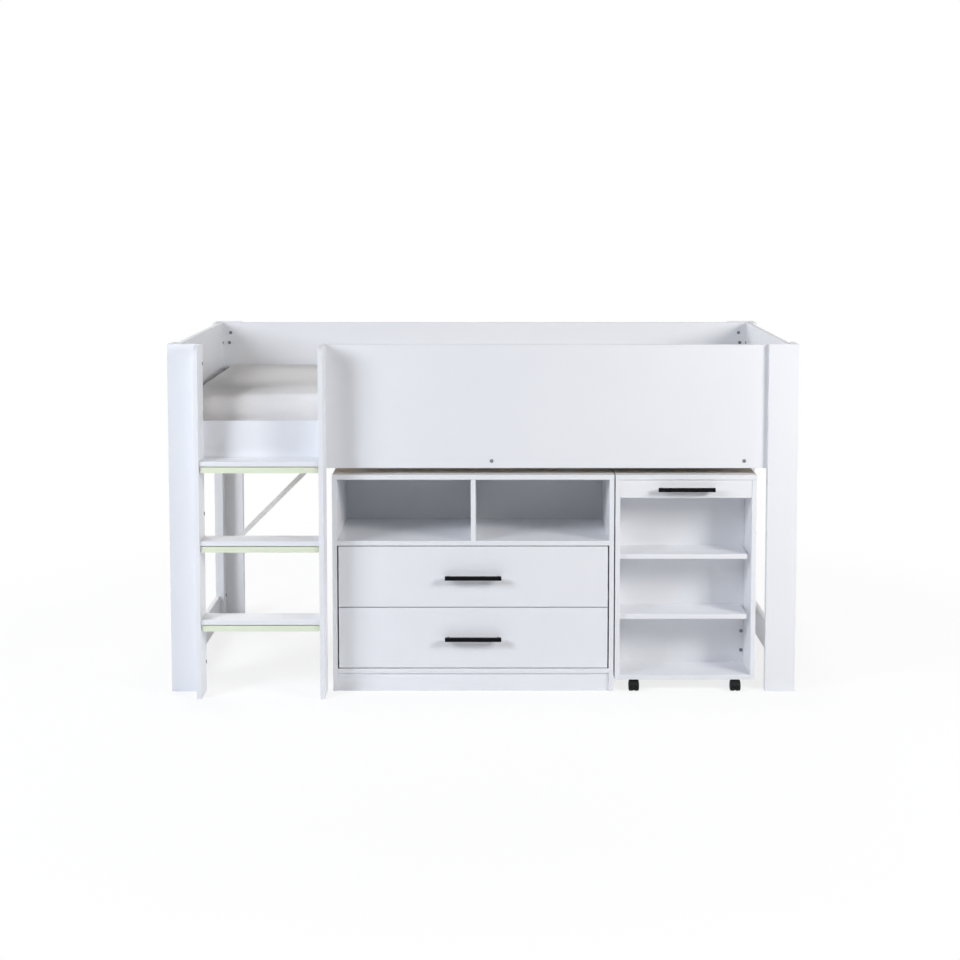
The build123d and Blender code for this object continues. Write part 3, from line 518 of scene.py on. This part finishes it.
class GeometryTree:
    """A geometry tree that sets out copies of a small shape on marked points."""

    def __init__(self, name: str, inputs: list[TreeInput]) -> None:
        """Start the tree with its geometry, its named inputs and its material.

        Args:
            name: name of the tree.
            inputs: the tree's sizes, each with its value.
        """
        self.group = bpy.data.node_groups.new(name, "GeometryNodeTree")
        face = self.group.interface
        face.new_socket("Geometry", in_out="INPUT", socket_type="NodeSocketGeometry")
        for entry in inputs:
            socket = face.new_socket(entry.name, in_out="INPUT", socket_type=entry.kind)
            socket.default_value = entry.value
        socket = face.new_socket("Material", in_out="INPUT", socket_type="NodeSocketMaterial")
        self.material_key = socket.identifier
        face.new_socket("Geometry", in_out="OUTPUT", socket_type="NodeSocketGeometry")
        self.start = add_node(self.group, "NodeGroupInput").outputs

    def node(self, kind: str, inputs: dict | None = None, **settings: object) -> bpy.types.Node:
        """Add a node to this tree."""
        return add_node(self.group, kind, inputs, **settings)

    def math(self, operation: str, first: object, second: object) -> bpy.types.NodeSocket:
        """Return what an operation makes of two sockets or numbers in this tree."""
        return compute(self.group, operation, first, second)

    def set_out(self, shape: bpy.types.NodeSocket) -> None:
        """Close the tree: put the shape on each point, facing outwards, and make it real.

        Args:
            shape: geometry that stands on the XY plane and points along +Z.
        """
        facing = self.node(
            "GeometryNodeInputNamedAttribute", {"Name": "facing"}, data_type="FLOAT_VECTOR"
        ).outputs[0]
        turned = self.node("FunctionNodeAlignRotationToVector", {"Vector": facing}, axis="Z")
        copies = self.node(
            "GeometryNodeInstanceOnPoints",
            {"Points": self.start["Geometry"], "Instance": shape, "Rotation": turned.outputs[0]},
        )
        solid = self.node("GeometryNodeRealizeInstances", {"Geometry": copies.outputs[0]})
        dressed = self.node(
            "GeometryNodeSetMaterial",
            {"Geometry": solid.outputs[0], "Material": self.start["Material"]},
        )
        self.node("NodeGroupOutput", {"Geometry": dressed.outputs[0]})

    def run(self, name: str, places: list[Place], finish: Finish, body: str) -> None:
        """Set the shape out on places, as one finished piece with a plain mesh.

        Args:
            name: name of the finished piece.
            places: where each copy goes.
            finish: finish of the copies.
            body: name of the body that carries them.
        """
        marks = bpy.data.meshes.new(name + "_marks")
        marks.from_pydata([place.point for place in places], [], [])
        facing = marks.attributes.new("facing", "FLOAT_VECTOR", "POINT")
        facing.data.foreach_set("vector", [c for place in places for c in place.facing])
        carrier = new_piece(name + "_marks", marks)
        modifier = carrier.modifiers.new("set out", "NODES")
        modifier.node_group = self.group
        modifier[self.material_key] = finish.material()
        bpy.context.view_layer.update()
        evaluated = carrier.evaluated_get(bpy.context.evaluated_depsgraph_get())
        mesh = bpy.data.meshes.new_from_object(evaluated)
        bpy.data.objects.remove(carrier)
        left_over = mesh.attributes.get("facing")
        if left_over:
            mesh.attributes.remove(left_over)
        finish_piece(new_piece(name, mesh), finish, body)


# ------------------------------------------------------------------ screws, pins and ribs
@dataclass
class Fixings:
    """Pan-head screws and panel pins, set out on the surfaces that they hold."""

    head_diameter: float = 0.0065
    head_height: float = 0.0011
    head_rim_share: float = 0.72
    head_sides: int = 20
    slot_width: float = 0.0010
    slot_length: float = 0.0038
    slot_depth: float = 0.0008
    pin_diameter: float = 0.0026
    pin_height: float = 0.0003
    pin_rim_share: float = 0.8
    pin_sides: int = 12
    handle_screw_half: float = 0.080
    screws: GeometryTree = field(init=False)
    pins: GeometryTree = field(init=False)

    def __post_init__(self) -> None:
        """Build the two trees."""
        self.screws = self._screw_tree()
        self.pins = self._pin_tree()

    def _head(self, tree: GeometryTree, sides: int, rim_share: float) -> bpy.types.NodeSocket:
        """Return a round head that narrows upwards, sized by its tree's inputs."""
        radius = tree.math("MULTIPLY", tree.start["Head Diameter"], 0.5)
        rim = tree.math("MULTIPLY", radius, rim_share)
        return tree.node(
            "GeometryNodeMeshCone",
            {"Vertices": sides, "Radius Bottom": radius, "Radius Top": rim,
             "Depth": tree.start["Head Height"]},
        ).outputs["Mesh"]

    def _screw_tree(self) -> GeometryTree:
        """Return the tree of a domed screw head with a cross recess."""
        tree = GeometryTree(
            "pan-head screws",
            [
                TreeInput("Head Diameter", self.head_diameter),
                TreeInput("Head Height", self.head_height),
                TreeInput("Slot Width", self.slot_width),
                TreeInput("Slot Length", self.slot_length),
                TreeInput("Slot Depth", self.slot_depth),
            ],
        )
        start = tree.start
        head = self._head(tree, self.head_sides, self.head_rim_share)
        lift = tree.node("ShaderNodeCombineXYZ", {"Z": start["Head Height"]}).outputs[0]
        for long, short in (("X", "Y"), ("Y", "X")):
            size = tree.node(
                "ShaderNodeCombineXYZ",
                {long: start["Slot Length"], short: start["Slot Width"], "Z": start["Slot Depth"]},
            ).outputs[0]
            bar = tree.node("GeometryNodeMeshCube", {"Size": size}).outputs["Mesh"]
            cut = tree.node(
                "GeometryNodeTransform", {"Geometry": bar, "Translation": lift}
            ).outputs[0]
            head = tree.node(
                "GeometryNodeMeshBoolean", {"Mesh 1": head, "Mesh 2": cut}, operation="DIFFERENCE"
            ).outputs["Mesh"]
        tree.set_out(head)
        return tree

    def _pin_tree(self) -> GeometryTree:
        """Return the tree of a flat round pin head."""
        tree = GeometryTree(
            "panel pins",
            [
                TreeInput("Head Diameter", self.pin_diameter),
                TreeInput("Head Height", self.pin_height),
            ],
        )
        tree.set_out(self._head(tree, self.pin_sides, self.pin_rim_share))
        return tree

    def fix(self, name: str, body: str, places: list[Place]) -> None:
        """Set screws out on a body.

        Args:
            name: name of the piece.
            body: body that carries the screws.
            places: where each screw goes.
        """
        self.screws.run(name, places, BOLT_ZINC, body)

    def pin(self, name: str, body: str, places: list[Place]) -> None:
        """Set panel pins out on a body.

        Args:
            name: name of the piece.
            body: body that carries the pins.
            places: where each pin goes.
        """
        self.pins.run(name, places, BOLT_ZINC, body)

    def fix_handle(self, handle: str, board: str, body: str) -> None:
        """Put a bar handle's two screw heads on the back of its board.

        Args:
            handle: node of the handle.
            board: node of the board that the handle is screwed to.
            body: body that carries both.
        """
        low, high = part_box(handle)
        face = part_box(board)[1].y
        middle = (low + high) / 2
        places = [
            Place((middle.x + side * self.handle_screw_half, face, middle.z), (0.0, 1.0, 0.0))
            for side in (-1, 1)
        ]
        self.fix(f"{handle}_screws", body, places)


def evenly(low: float, high: float, count: int) -> list[float]:
    """Return count values spread evenly from low to high, both included."""
    return [low + (high - low) * step / (count - 1) for step in range(count)]


# ------------------------------------------------------------------ the bed
@dataclass(frozen=True)
class Filling:
    """How firmly the mattress is filled, and how its cover stretches and folds."""

    pressure: float = 4.0
    frames: int = 20
    quality: int = 4
    mass: float = 0.4
    stretch_stiffness: float = 25.0
    shear_stiffness: float = 10.0
    bending_stiffness: float = 1.0
    swell_cap: float = 0.009


@dataclass(frozen=True)
class Ripple:
    """One soft unevenness of a cover: how high it stands, and how tight it is along X, Y, Z."""

    height: float
    tightness: tuple[float, float, float]

    def at(self, place: Vector) -> float:
        """Return the unevenness at a place."""
        return self.height * noise.noise(place * Vector(self.tightness))


@dataclass
class Mattress:
    """A sprung mattress in a cotton cover, inflated by a cloth simulation."""

    start_inset: float = 0.004
    corner_round: float = 0.014
    edge_round: float = 0.012
    round_segments: int = 6
    voxel: float = 0.014
    filling: Filling = Filling()
    waves: tuple[Ripple, ...] = (
        Ripple(0.0016, (3.1, 3.1, 3.1)),
        Ripple(0.0009, (9.0, 9.0, 9.0)),
    )
    side_crease: Ripple = Ripple(0.0011, (5.0, 5.0, 60.0))
    side_facing: float = 1.6  # the larger, the more upright a face must be to take the crease
    side_room: float = 0.003  # how far the cover may pass the solid mattress, at the sides
    top_room: float = 0.010  # and at the top
    top_lift: float = 0.004
    end_rise: float = 0.005
    front_droop: float = 0.025
    droop_reach: float = 0.36

    def build(self) -> None:
        """Build, inflate and dress the mattress."""
        low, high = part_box("mattress")
        piece = new_piece("mattress_cover", self._block(low, high))
        self._remesh(piece)
        self._inflate(piece)
        self._soften(piece, low, high)
        for polygon in piece.data.polygons:
            polygon.use_smooth = True
        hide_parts("mattress")
        finish_piece(piece, COTTON, "bed")

    def _block(self, low: Vector, high: Vector) -> bpy.types.Mesh:
        """Return a rounded block, a little smaller than the space for the mattress."""
        shape = bmesh.new()
        centre = (low + high) / 2
        size = [span - 2 * self.start_inset for span in high - low]
        bmesh.ops.create_cube(
            shape, size=1.0, matrix=Matrix.Translation(centre) @ Matrix.Diagonal((*size, 1.0))
        )
        corners = [edge for edge in shape.edges if not self._is_level(edge)]
        self._round(shape, corners, self.corner_round)
        rims = [
            edge
            for edge in shape.edges
            if self._is_level(edge) and len({abs(f.normal.z) > 0.5 for f in edge.link_faces}) == 2
        ]
        self._round(shape, rims, self.edge_round)
        mesh = bpy.data.meshes.new("mattress_block")
        shape.to_mesh(mesh)
        shape.free()
        return mesh

    def _is_level(self, edge: bmesh.types.BMEdge) -> bool:
        """Return whether an edge of the block lies level."""
        return abs(edge.verts[0].co.z - edge.verts[1].co.z) < MILLI / 100

    def _round(
        self, shape: bmesh.types.BMesh, edges: list[bmesh.types.BMEdge], radius: float
    ) -> None:
        """Round some edges of the block."""
        bmesh.ops.bevel(
            shape, geom=edges, offset=radius, segments=self.round_segments, affect="EDGES",
            profile=0.5,
        )

    def _apply(self, piece: bpy.types.Object) -> None:
        """Turn a piece's modifiers into its mesh and take them off."""
        evaluated = piece.evaluated_get(bpy.context.evaluated_depsgraph_get())
        mesh = bpy.data.meshes.new_from_object(evaluated)
        piece.modifiers.clear()
        piece.data = mesh

    def _remesh(self, piece: bpy.types.Object) -> None:
        """Cover the block with an even net of small faces."""
        remesh = piece.modifiers.new("even net", "REMESH")
        remesh.mode = "VOXEL"
        remesh.voxel_size = self.voxel
        self._apply(piece)

    def _inflate(self, piece: bpy.types.Object) -> None:
        """Swell the cover with pressure, and hold each point near where it began."""
        scene = bpy.context.scene
        filling = self.filling
        rest = [vertex.co.copy() for vertex in piece.data.vertices]
        cloth = piece.modifiers.new("filling", "CLOTH")
        settings = cloth.settings
        settings.use_pressure = True
        settings.uniform_pressure_force = filling.pressure
        settings.quality = filling.quality
        settings.mass = filling.mass
        settings.tension_stiffness = filling.stretch_stiffness
        settings.compression_stiffness = filling.stretch_stiffness
        settings.shear_stiffness = filling.shear_stiffness
        settings.bending_stiffness = filling.bending_stiffness
        settings.effector_weights.gravity = 0
        cloth.collision_settings.use_collision = False
        cloth.collision_settings.use_self_collision = False
        cloth.point_cache.frame_start = 1
        cloth.point_cache.frame_end = filling.frames
        for step in range(1, filling.frames + 1):
            scene.frame_set(step)
        self._apply(piece)
        scene.frame_set(1)
        for vertex, start in zip(piece.data.vertices, rest):
            move = vertex.co - start
            if move.length > filling.swell_cap:
                vertex.co = start + move.normalized() * filling.swell_cap

    def _soften(self, piece: bpy.types.Object, low: Vector, high: Vector) -> None:
        """Raise the ends, droop the front corners and wave the cover, clear of the panels."""
        mesh = piece.data
        middle = (low + high) / 2
        half = (high - low) / 2
        normals = [vertex.normal.copy() for vertex in mesh.vertices]
        for vertex, normal in zip(mesh.vertices, normals):
            place = vertex.co.copy()
            lift = (place.z - low.z) / (high.z - low.z)
            side = 1.0 - min(1.0, abs(normal.z) * self.side_facing)
            swell = sum(wave.at(place) for wave in self.waves)
            swell += side * self.side_crease.at(place)
            near_end = max(0.0, 1 - (half.x - abs(place.x - middle.x)) / self.droop_reach)
            near_front = max(0.0, 1 - (place.y - low.y) / self.droop_reach)
            rise = self.top_lift + self.end_rise * near_end
            rise -= self.front_droop * (near_end * near_front) ** 2
            place += normal * swell
            place.z += rise * max(0.0, lift)
            place.x = min(max(place.x, low.x - self.side_room), high.x + self.side_room)
            place.y = min(max(place.y, low.y - self.side_room), high.y + self.side_room)
            place.z = min(max(place.z, low.z), high.z + self.top_room)
            vertex.co = place
        smooth = piece.modifiers.new("cover", "SUBSURF")
        smooth.levels = smooth.render_levels = 1
        self._apply(piece)


@dataclass
class Bed:
    """The bed frame with its ladder: boards, slats, braces, bolts and mattress."""

    cleat_node: str = "slat_cleats"
    mattress: Mattress = field(default_factory=Mattress)

    def build(self) -> None:
        """Turn the cleats' grain along the bed and make the mattress."""
        CLEAT_PINE.dress(frame["nodes"][self.cleat_node])
        self.mattress.build()


# ------------------------------------------------------------------ the chest of drawers
@dataclass
class Chest:
    """The chest of drawers: back-sheet pins, and the screws of its handles and runners."""

    fixings: Fixings
    pin_pitch: float = 0.125
    pin_inset: float = 0.0075
    runner_web: float = 0.0012
    runner_screw_count: int = 3
    runner_screw_inset: float = 0.040
    drawer_screw_drop: float = 0.005
    chest_screw_rise: float = 0.0235

    def build(self) -> None:
        """Set out the pins and the screws."""
        self._pin_back_sheet()
        for drawer in ("drawer_upper", "drawer_lower"):
            self.fixings.fix_handle(f"{drawer}_handle", f"{drawer}_front", drawer)
            self._screw_runners(drawer)

    def _pin_back_sheet(self) -> None:
        """Pin the back sheet along its edges."""
        low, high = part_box("chest_back")
        floor_low, floor_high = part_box("chest_cubby_floor")
        across = round((high.x - low.x) / self.pin_pitch) + 1
        upward = round((high.z - low.z) / self.pin_pitch) + 1
        spots = []
        for x in evenly(low.x + self.pin_inset, high.x - self.pin_inset, across):
            spots += [(x, low.z + self.pin_inset), (x, high.z - self.pin_inset)]
            spots.append((x, (floor_low.z + floor_high.z) / 2))
        for z in evenly(low.z + self.pin_inset, high.z - self.pin_inset, upward)[1:-1]:
            spots += [(low.x + self.pin_inset, z), (high.x - self.pin_inset, z)]
        places = [Place((x, high.y, z), (0.0, 1.0, 0.0)) for x, z in spots]
        self.fixings.pin("chest_back_pins", "bed", places)

    def _screw_runners(self, drawer: str) -> None:
        """Screw the four runner halves of one drawer to the chest and to the box.

        Args:
            drawer: body of the drawer, whose name its nodes begin with.
        """
        low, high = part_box(f"{drawer}_slides")
        box_low, box_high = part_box(f"{drawer}_box")
        chest_low, chest_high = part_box("chest_runners")
        web = self.runner_web
        inset = self.runner_screw_inset
        drawer_z = high.z - self.drawer_screw_drop
        chest_z = low.z + self.chest_screw_rise
        leftward, rightward = (-1.0, 0.0, 0.0), (1.0, 0.0, 0.0)
        drawer_places, chest_places = [], []
        for y in evenly(low.y + inset, high.y - inset, self.runner_screw_count):
            drawer_places.append(Place((box_low.x - web, y, drawer_z), leftward))
            drawer_places.append(Place((box_high.x + web, y, drawer_z), rightward))
            chest_places.append(Place((chest_low.x + web, y, chest_z), rightward))
            chest_places.append(Place((chest_high.x - web, y, chest_z), leftward))
        self.fixings.fix(f"{drawer}_runner_screws", drawer, drawer_places)
        level = drawer.removeprefix("drawer_")
        self.fixings.fix(f"chest_runner_screws_{level}", "bed", chest_places)


# ------------------------------------------------------------------ the desk and its castors
@dataclass
class Desk:
    """The roll-out desk: handle screws and the ribbed wheel hubs of its castors."""

    fixings: Fixings
    rib_count: int = 9
    hub_radius: float = 0.0040
    rim_radius: float = 0.0115
    rib_width: float = 0.0010
    rib_height: float = 0.0007
    boss_sides: int = 24

    def build(self) -> None:
        """Set out the handle's screws and the hubs."""
        self.fixings.fix_handle("desk_handle", "desk_apron", "desk")
        tree = self._hub_tree()
        for corner in ("front_left", "front_right", "rear_left", "rear_right"):
            wheels = f"castor_wheels_{corner}"
            low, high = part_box(wheels)
            centre = (low + high) / 2
            hubs = [
                Place((low.x, centre.y, centre.z), (-1.0, 0.0, 0.0)),
                Place((high.x, centre.y, centre.z), (1.0, 0.0, 0.0)),
            ]
            tree.run(f"castor_hubs_{corner}", hubs, NYLON, wheels)

    def _hub_tree(self) -> GeometryTree:
        """Return the tree of a wheel hub: a ring of radial ribs round a boss."""
        tree = GeometryTree(
            "wheel hub ribs",
            [
                TreeInput("Rib Count", self.rib_count, "NodeSocketInt"),
                TreeInput("Hub Radius", self.hub_radius),
                TreeInput("Rim Radius", self.rim_radius),
                TreeInput("Rib Width", self.rib_width),
                TreeInput("Rib Height", self.rib_height),
            ],
        )
        start = tree.start
        span = tree.math("SUBTRACT", start["Rim Radius"], start["Hub Radius"])
        reach = tree.math("ADD", start["Rim Radius"], start["Hub Radius"])
        middle = tree.math("MULTIPLY", reach, 0.5)
        size = tree.node(
            "ShaderNodeCombineXYZ", {"X": span, "Y": start["Rib Width"], "Z": start["Rib Height"]}
        ).outputs[0]
        rib = tree.node("GeometryNodeMeshCube", {"Size": size}).outputs["Mesh"]
        ring = tree.node(
            "GeometryNodeMeshCircle", {"Vertices": start["Rib Count"], "Radius": middle}
        ).outputs["Mesh"]
        outward = tree.node("GeometryNodeInputPosition").outputs[0]
        turned = tree.node("FunctionNodeAlignRotationToVector", {"Vector": outward}, axis="X")
        ribs = tree.node(
            "GeometryNodeInstanceOnPoints",
            {"Points": ring, "Instance": rib, "Rotation": turned.outputs[0]},
        ).outputs[0]
        boss = tree.node(
            "GeometryNodeMeshCone",
            {"Vertices": self.boss_sides, "Radius Bottom": start["Hub Radius"],
             "Radius Top": start["Hub Radius"], "Depth": start["Rib Height"]},
        ).outputs["Mesh"]
        joined = tree.node("GeometryNodeJoinGeometry")
        for part in (ribs, boss):
            tree.group.links.new(part, joined.inputs[0])
        solid = tree.node("GeometryNodeRealizeInstances", {"Geometry": joined.outputs[0]})
        tree.set_out(solid.outputs[0])
        return tree


# ------------------------------------------------------------------ floor, lamps and camera
@dataclass(frozen=True)
class SoftBox:
    """One square soft box: where it stands, its light, its width and what it faces."""

    name: str
    place: tuple[float, float, float]
    power: float
    size: float
    colour: str
    target: tuple[float, float, float] = (0.0, -0.4, 0.65)

    def stand(self) -> None:
        """Stand the soft box in the scene."""
        lamp = bpy.data.lights.new(self.name, "AREA")
        lamp.shape = "SQUARE"
        lamp.size = self.size
        lamp.energy = self.power
        lamp.color = linear(self.colour)[:3]
        holder = bpy.data.objects.new(self.name, lamp)
        holder.location = self.place
        aim = Vector(self.target) - Vector(self.place)
        holder.rotation_euler = aim.to_track_quat("-Z", "Y").to_euler()
        bpy.context.scene.collection.objects.link(holder)


SOFT_BOXES = (
    SoftBox("key_left_high", (-3.8, -4.2, 4.0), 51.0, 1.3, "#F5F9FF"),
    SoftBox("key_left", (-2.7, -2.3, 1.9), 54.5, 1.1, "#F3F7FF"),
    SoftBox("key_right", (2.7, -2.3, 1.9), 68.5, 1.1, "#FFFDFB"),
    SoftBox("top", (0.0, -0.2, 4.6), 10.0, 1.6, WHITE),
    SoftBox("back_left", (-2.8, 2.8, 2.4), 84.0, 1.6, WHITE),
    SoftBox("back_right", (2.8, 2.8, 2.4), 24.5, 1.6, WHITE),
)


@dataclass
class Studio:
    """A plain pale floor, soft boxes in front and behind, and the camera."""

    floor_half: float = 2.6
    fade_from: float = 1.6
    fade_to: float = 2.5
    open_share: float = 0.07  # how much of the floor's own shading shows in the open
    under_share: float = 0.14  # how much more of it shows under the object
    under_half: tuple[float, float, float] = (0.95, 0.50, 1.0)
    under_fade: float = 0.30
    floor_colour: str = "#FCFDFF"
    ambient: float = 0.02
    ambient_colour: str = "#F2F6FF"
    soft_boxes: tuple[SoftBox, ...] = SOFT_BOXES
    lens: float = 63.71
    lens_shift: tuple[float, float] = (-0.0138, -0.16)
    eye: tuple[float, float, float] = (0.0322, -5.7915, 1.6004)
    eye_pitch: float = 4.531

    def build(self) -> None:
        """Build the floor, the surroundings, the lamps and the camera."""
        self._floor()
        self._surroundings()
        for soft_box in self.soft_boxes:
            soft_box.stand()
        self._camera()
        scene = bpy.context.scene
        scene.view_settings.view_transform = "Standard"

    def _floor(self) -> None:
        """Lay a white floor that takes the shadows, most of all under the object."""
        half = self.floor_half
        mesh = bpy.data.meshes.new("floor")
        mesh.from_pydata(
            [(-half, -half, 0), (half, -half, 0), (half, half, 0), (-half, half, 0)],
            [],
            [(0, 1, 2, 3)],
        )
        floor = new_piece("floor", mesh)
        material = bpy.data.materials.new("pale studio floor")
        material.use_nodes = True
        tree = material.node_tree
        tree.nodes.clear()
        diffuse = add_node(
            tree,
            "ShaderNodeBsdfDiffuse",
            {"Color": linear(self.floor_colour), "Roughness": 0.5},
        )
        white = add_node(tree, "ShaderNodeEmission", {"Color": linear(WHITE), "Strength": 1.0})
        mixed = add_node(
            tree,
            "ShaderNodeMixShader",
            {0: self._white_share(tree), 1: diffuse.outputs[0], 2: white.outputs[0]},
        )
        add_node(tree, "ShaderNodeOutputMaterial", {"Surface": mixed.outputs[0]})
        mesh.materials.append(material)

    def _white_share(self, tree: bpy.types.NodeTree) -> bpy.types.NodeSocket:
        """Return how much of the floor shows as plain white: least under the object."""
        place = add_node(tree, "ShaderNodeTexCoord").outputs["Object"]
        mirrored = add_node(tree, "ShaderNodeVectorMath", {0: place}, operation="ABSOLUTE")
        outside = add_node(
            tree,
            "ShaderNodeVectorMath",
            {0: mirrored.outputs[0], 1: self.under_half},
            operation="SUBTRACT",
        )
        beside = add_node(
            tree,
            "ShaderNodeVectorMath",
            {0: outside.outputs[0], 1: (0.0, 0.0, 0.0)},
            operation="MAXIMUM",
        ).outputs[0]
        far = self._ramp(tree, place, self.fade_from, self.fade_to, -self.open_share, 0.0)
        near = self._ramp(tree, beside, 0.0, self.under_fade, 1.0 - self.under_share, 1.0)
        fade = compute(tree, "ADD", far, near)
        return compute(tree, "MULTIPLY", fade, self._seen(tree))

    def _ramp(
        self,
        tree: bpy.types.NodeTree,
        vector: bpy.types.NodeSocket,
        start: float,
        end: float,
        first: float,
        last: float,
    ) -> bpy.types.NodeSocket:
        """Return a value that runs from first to last as the vector's length grows.

        Args:
            tree: material tree of the floor.
            vector: vector whose length counts.
            start: length where the value leaves first.
            end: length where it reaches last.
            first: value up to start.
            last: value from end on.

        Returns:
            The value's socket.
        """
        length = add_node(
            tree, "ShaderNodeVectorMath", {0: vector}, operation="LENGTH"
        ).outputs["Value"]
        return add_node(
            tree,
            "ShaderNodeMapRange",
            {"Value": length, "From Min": start, "From Max": end, "To Min": first, "To Max": last},
            interpolation_type="SMOOTHSTEP",
        ).outputs["Result"]

    def _seen(self, tree: bpy.types.NodeTree) -> bpy.types.NodeSocket:
        """Return 1 for rays that show the background: straight, mirrored or through glass."""
        path = add_node(tree, "ShaderNodeLightPath").outputs
        seen = path["Is Camera Ray"]
        for other in ("Is Glossy Ray", "Is Transmission Ray"):
            seen = compute(tree, "MAXIMUM", seen, path[other])
        return seen

    def _surroundings(self) -> None:
        """Surround the object with even fill light, seen as white."""
        world = bpy.data.worlds.new("studio")
        bpy.context.scene.world = world
        world.use_nodes = True
        tree = world.node_tree
        tree.nodes.clear()
        fill = add_node(
            tree,
            "ShaderNodeBackground",
            {"Color": linear(self.ambient_colour), "Strength": self.ambient},
        )
        white = add_node(tree, "ShaderNodeBackground", {"Color": linear(WHITE), "Strength": 1.0})
        mixed = add_node(
            tree,
            "ShaderNodeMixShader",
            {0: self._seen(tree), 1: fill.outputs[0], 2: white.outputs[0]},
        )
        add_node(tree, "ShaderNodeOutputWorld", {"Surface": mixed.outputs[0]})

    def _camera(self) -> None:
        """Stand the camera in front of the bed, a little above it, with a slight lens shift."""
        camera = bpy.data.cameras.new("camera")
        camera.lens = self.lens
        camera.shift_x, camera.shift_y = self.lens_shift
        holder = bpy.data.objects.new("camera", camera)
        holder.location = self.eye
        holder.rotation_euler = (math.radians(90 - self.eye_pitch), 0.0, 0.0)
        bpy.context.scene.collection.objects.link(holder)
        bpy.context.scene.camera = holder


def dress_frame() -> None:
    """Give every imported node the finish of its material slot."""
    for entry in frame["record"]["subparts"]:
        node = frame["nodes"][entry["node"]]
        FINISH_OF_SLOT[entry["material_slot"]].dress(node)
        log.info("%s: %s", entry["node"], entry["material_slot"])


def main() -> None:
    """Build the sub-assemblies in order, then the studio."""
    logging.basicConfig(level=logging.INFO, format="%(name)s: %(message)s")
    dress_frame()
    fixings = Fixings()
    for assembly in (Bed(), Chest(fixings), Desk(fixings), Studio()):
        assembly.build()
        log.info("%s built", type(assembly).__name__)


if __name__ == "__main__":
    main()
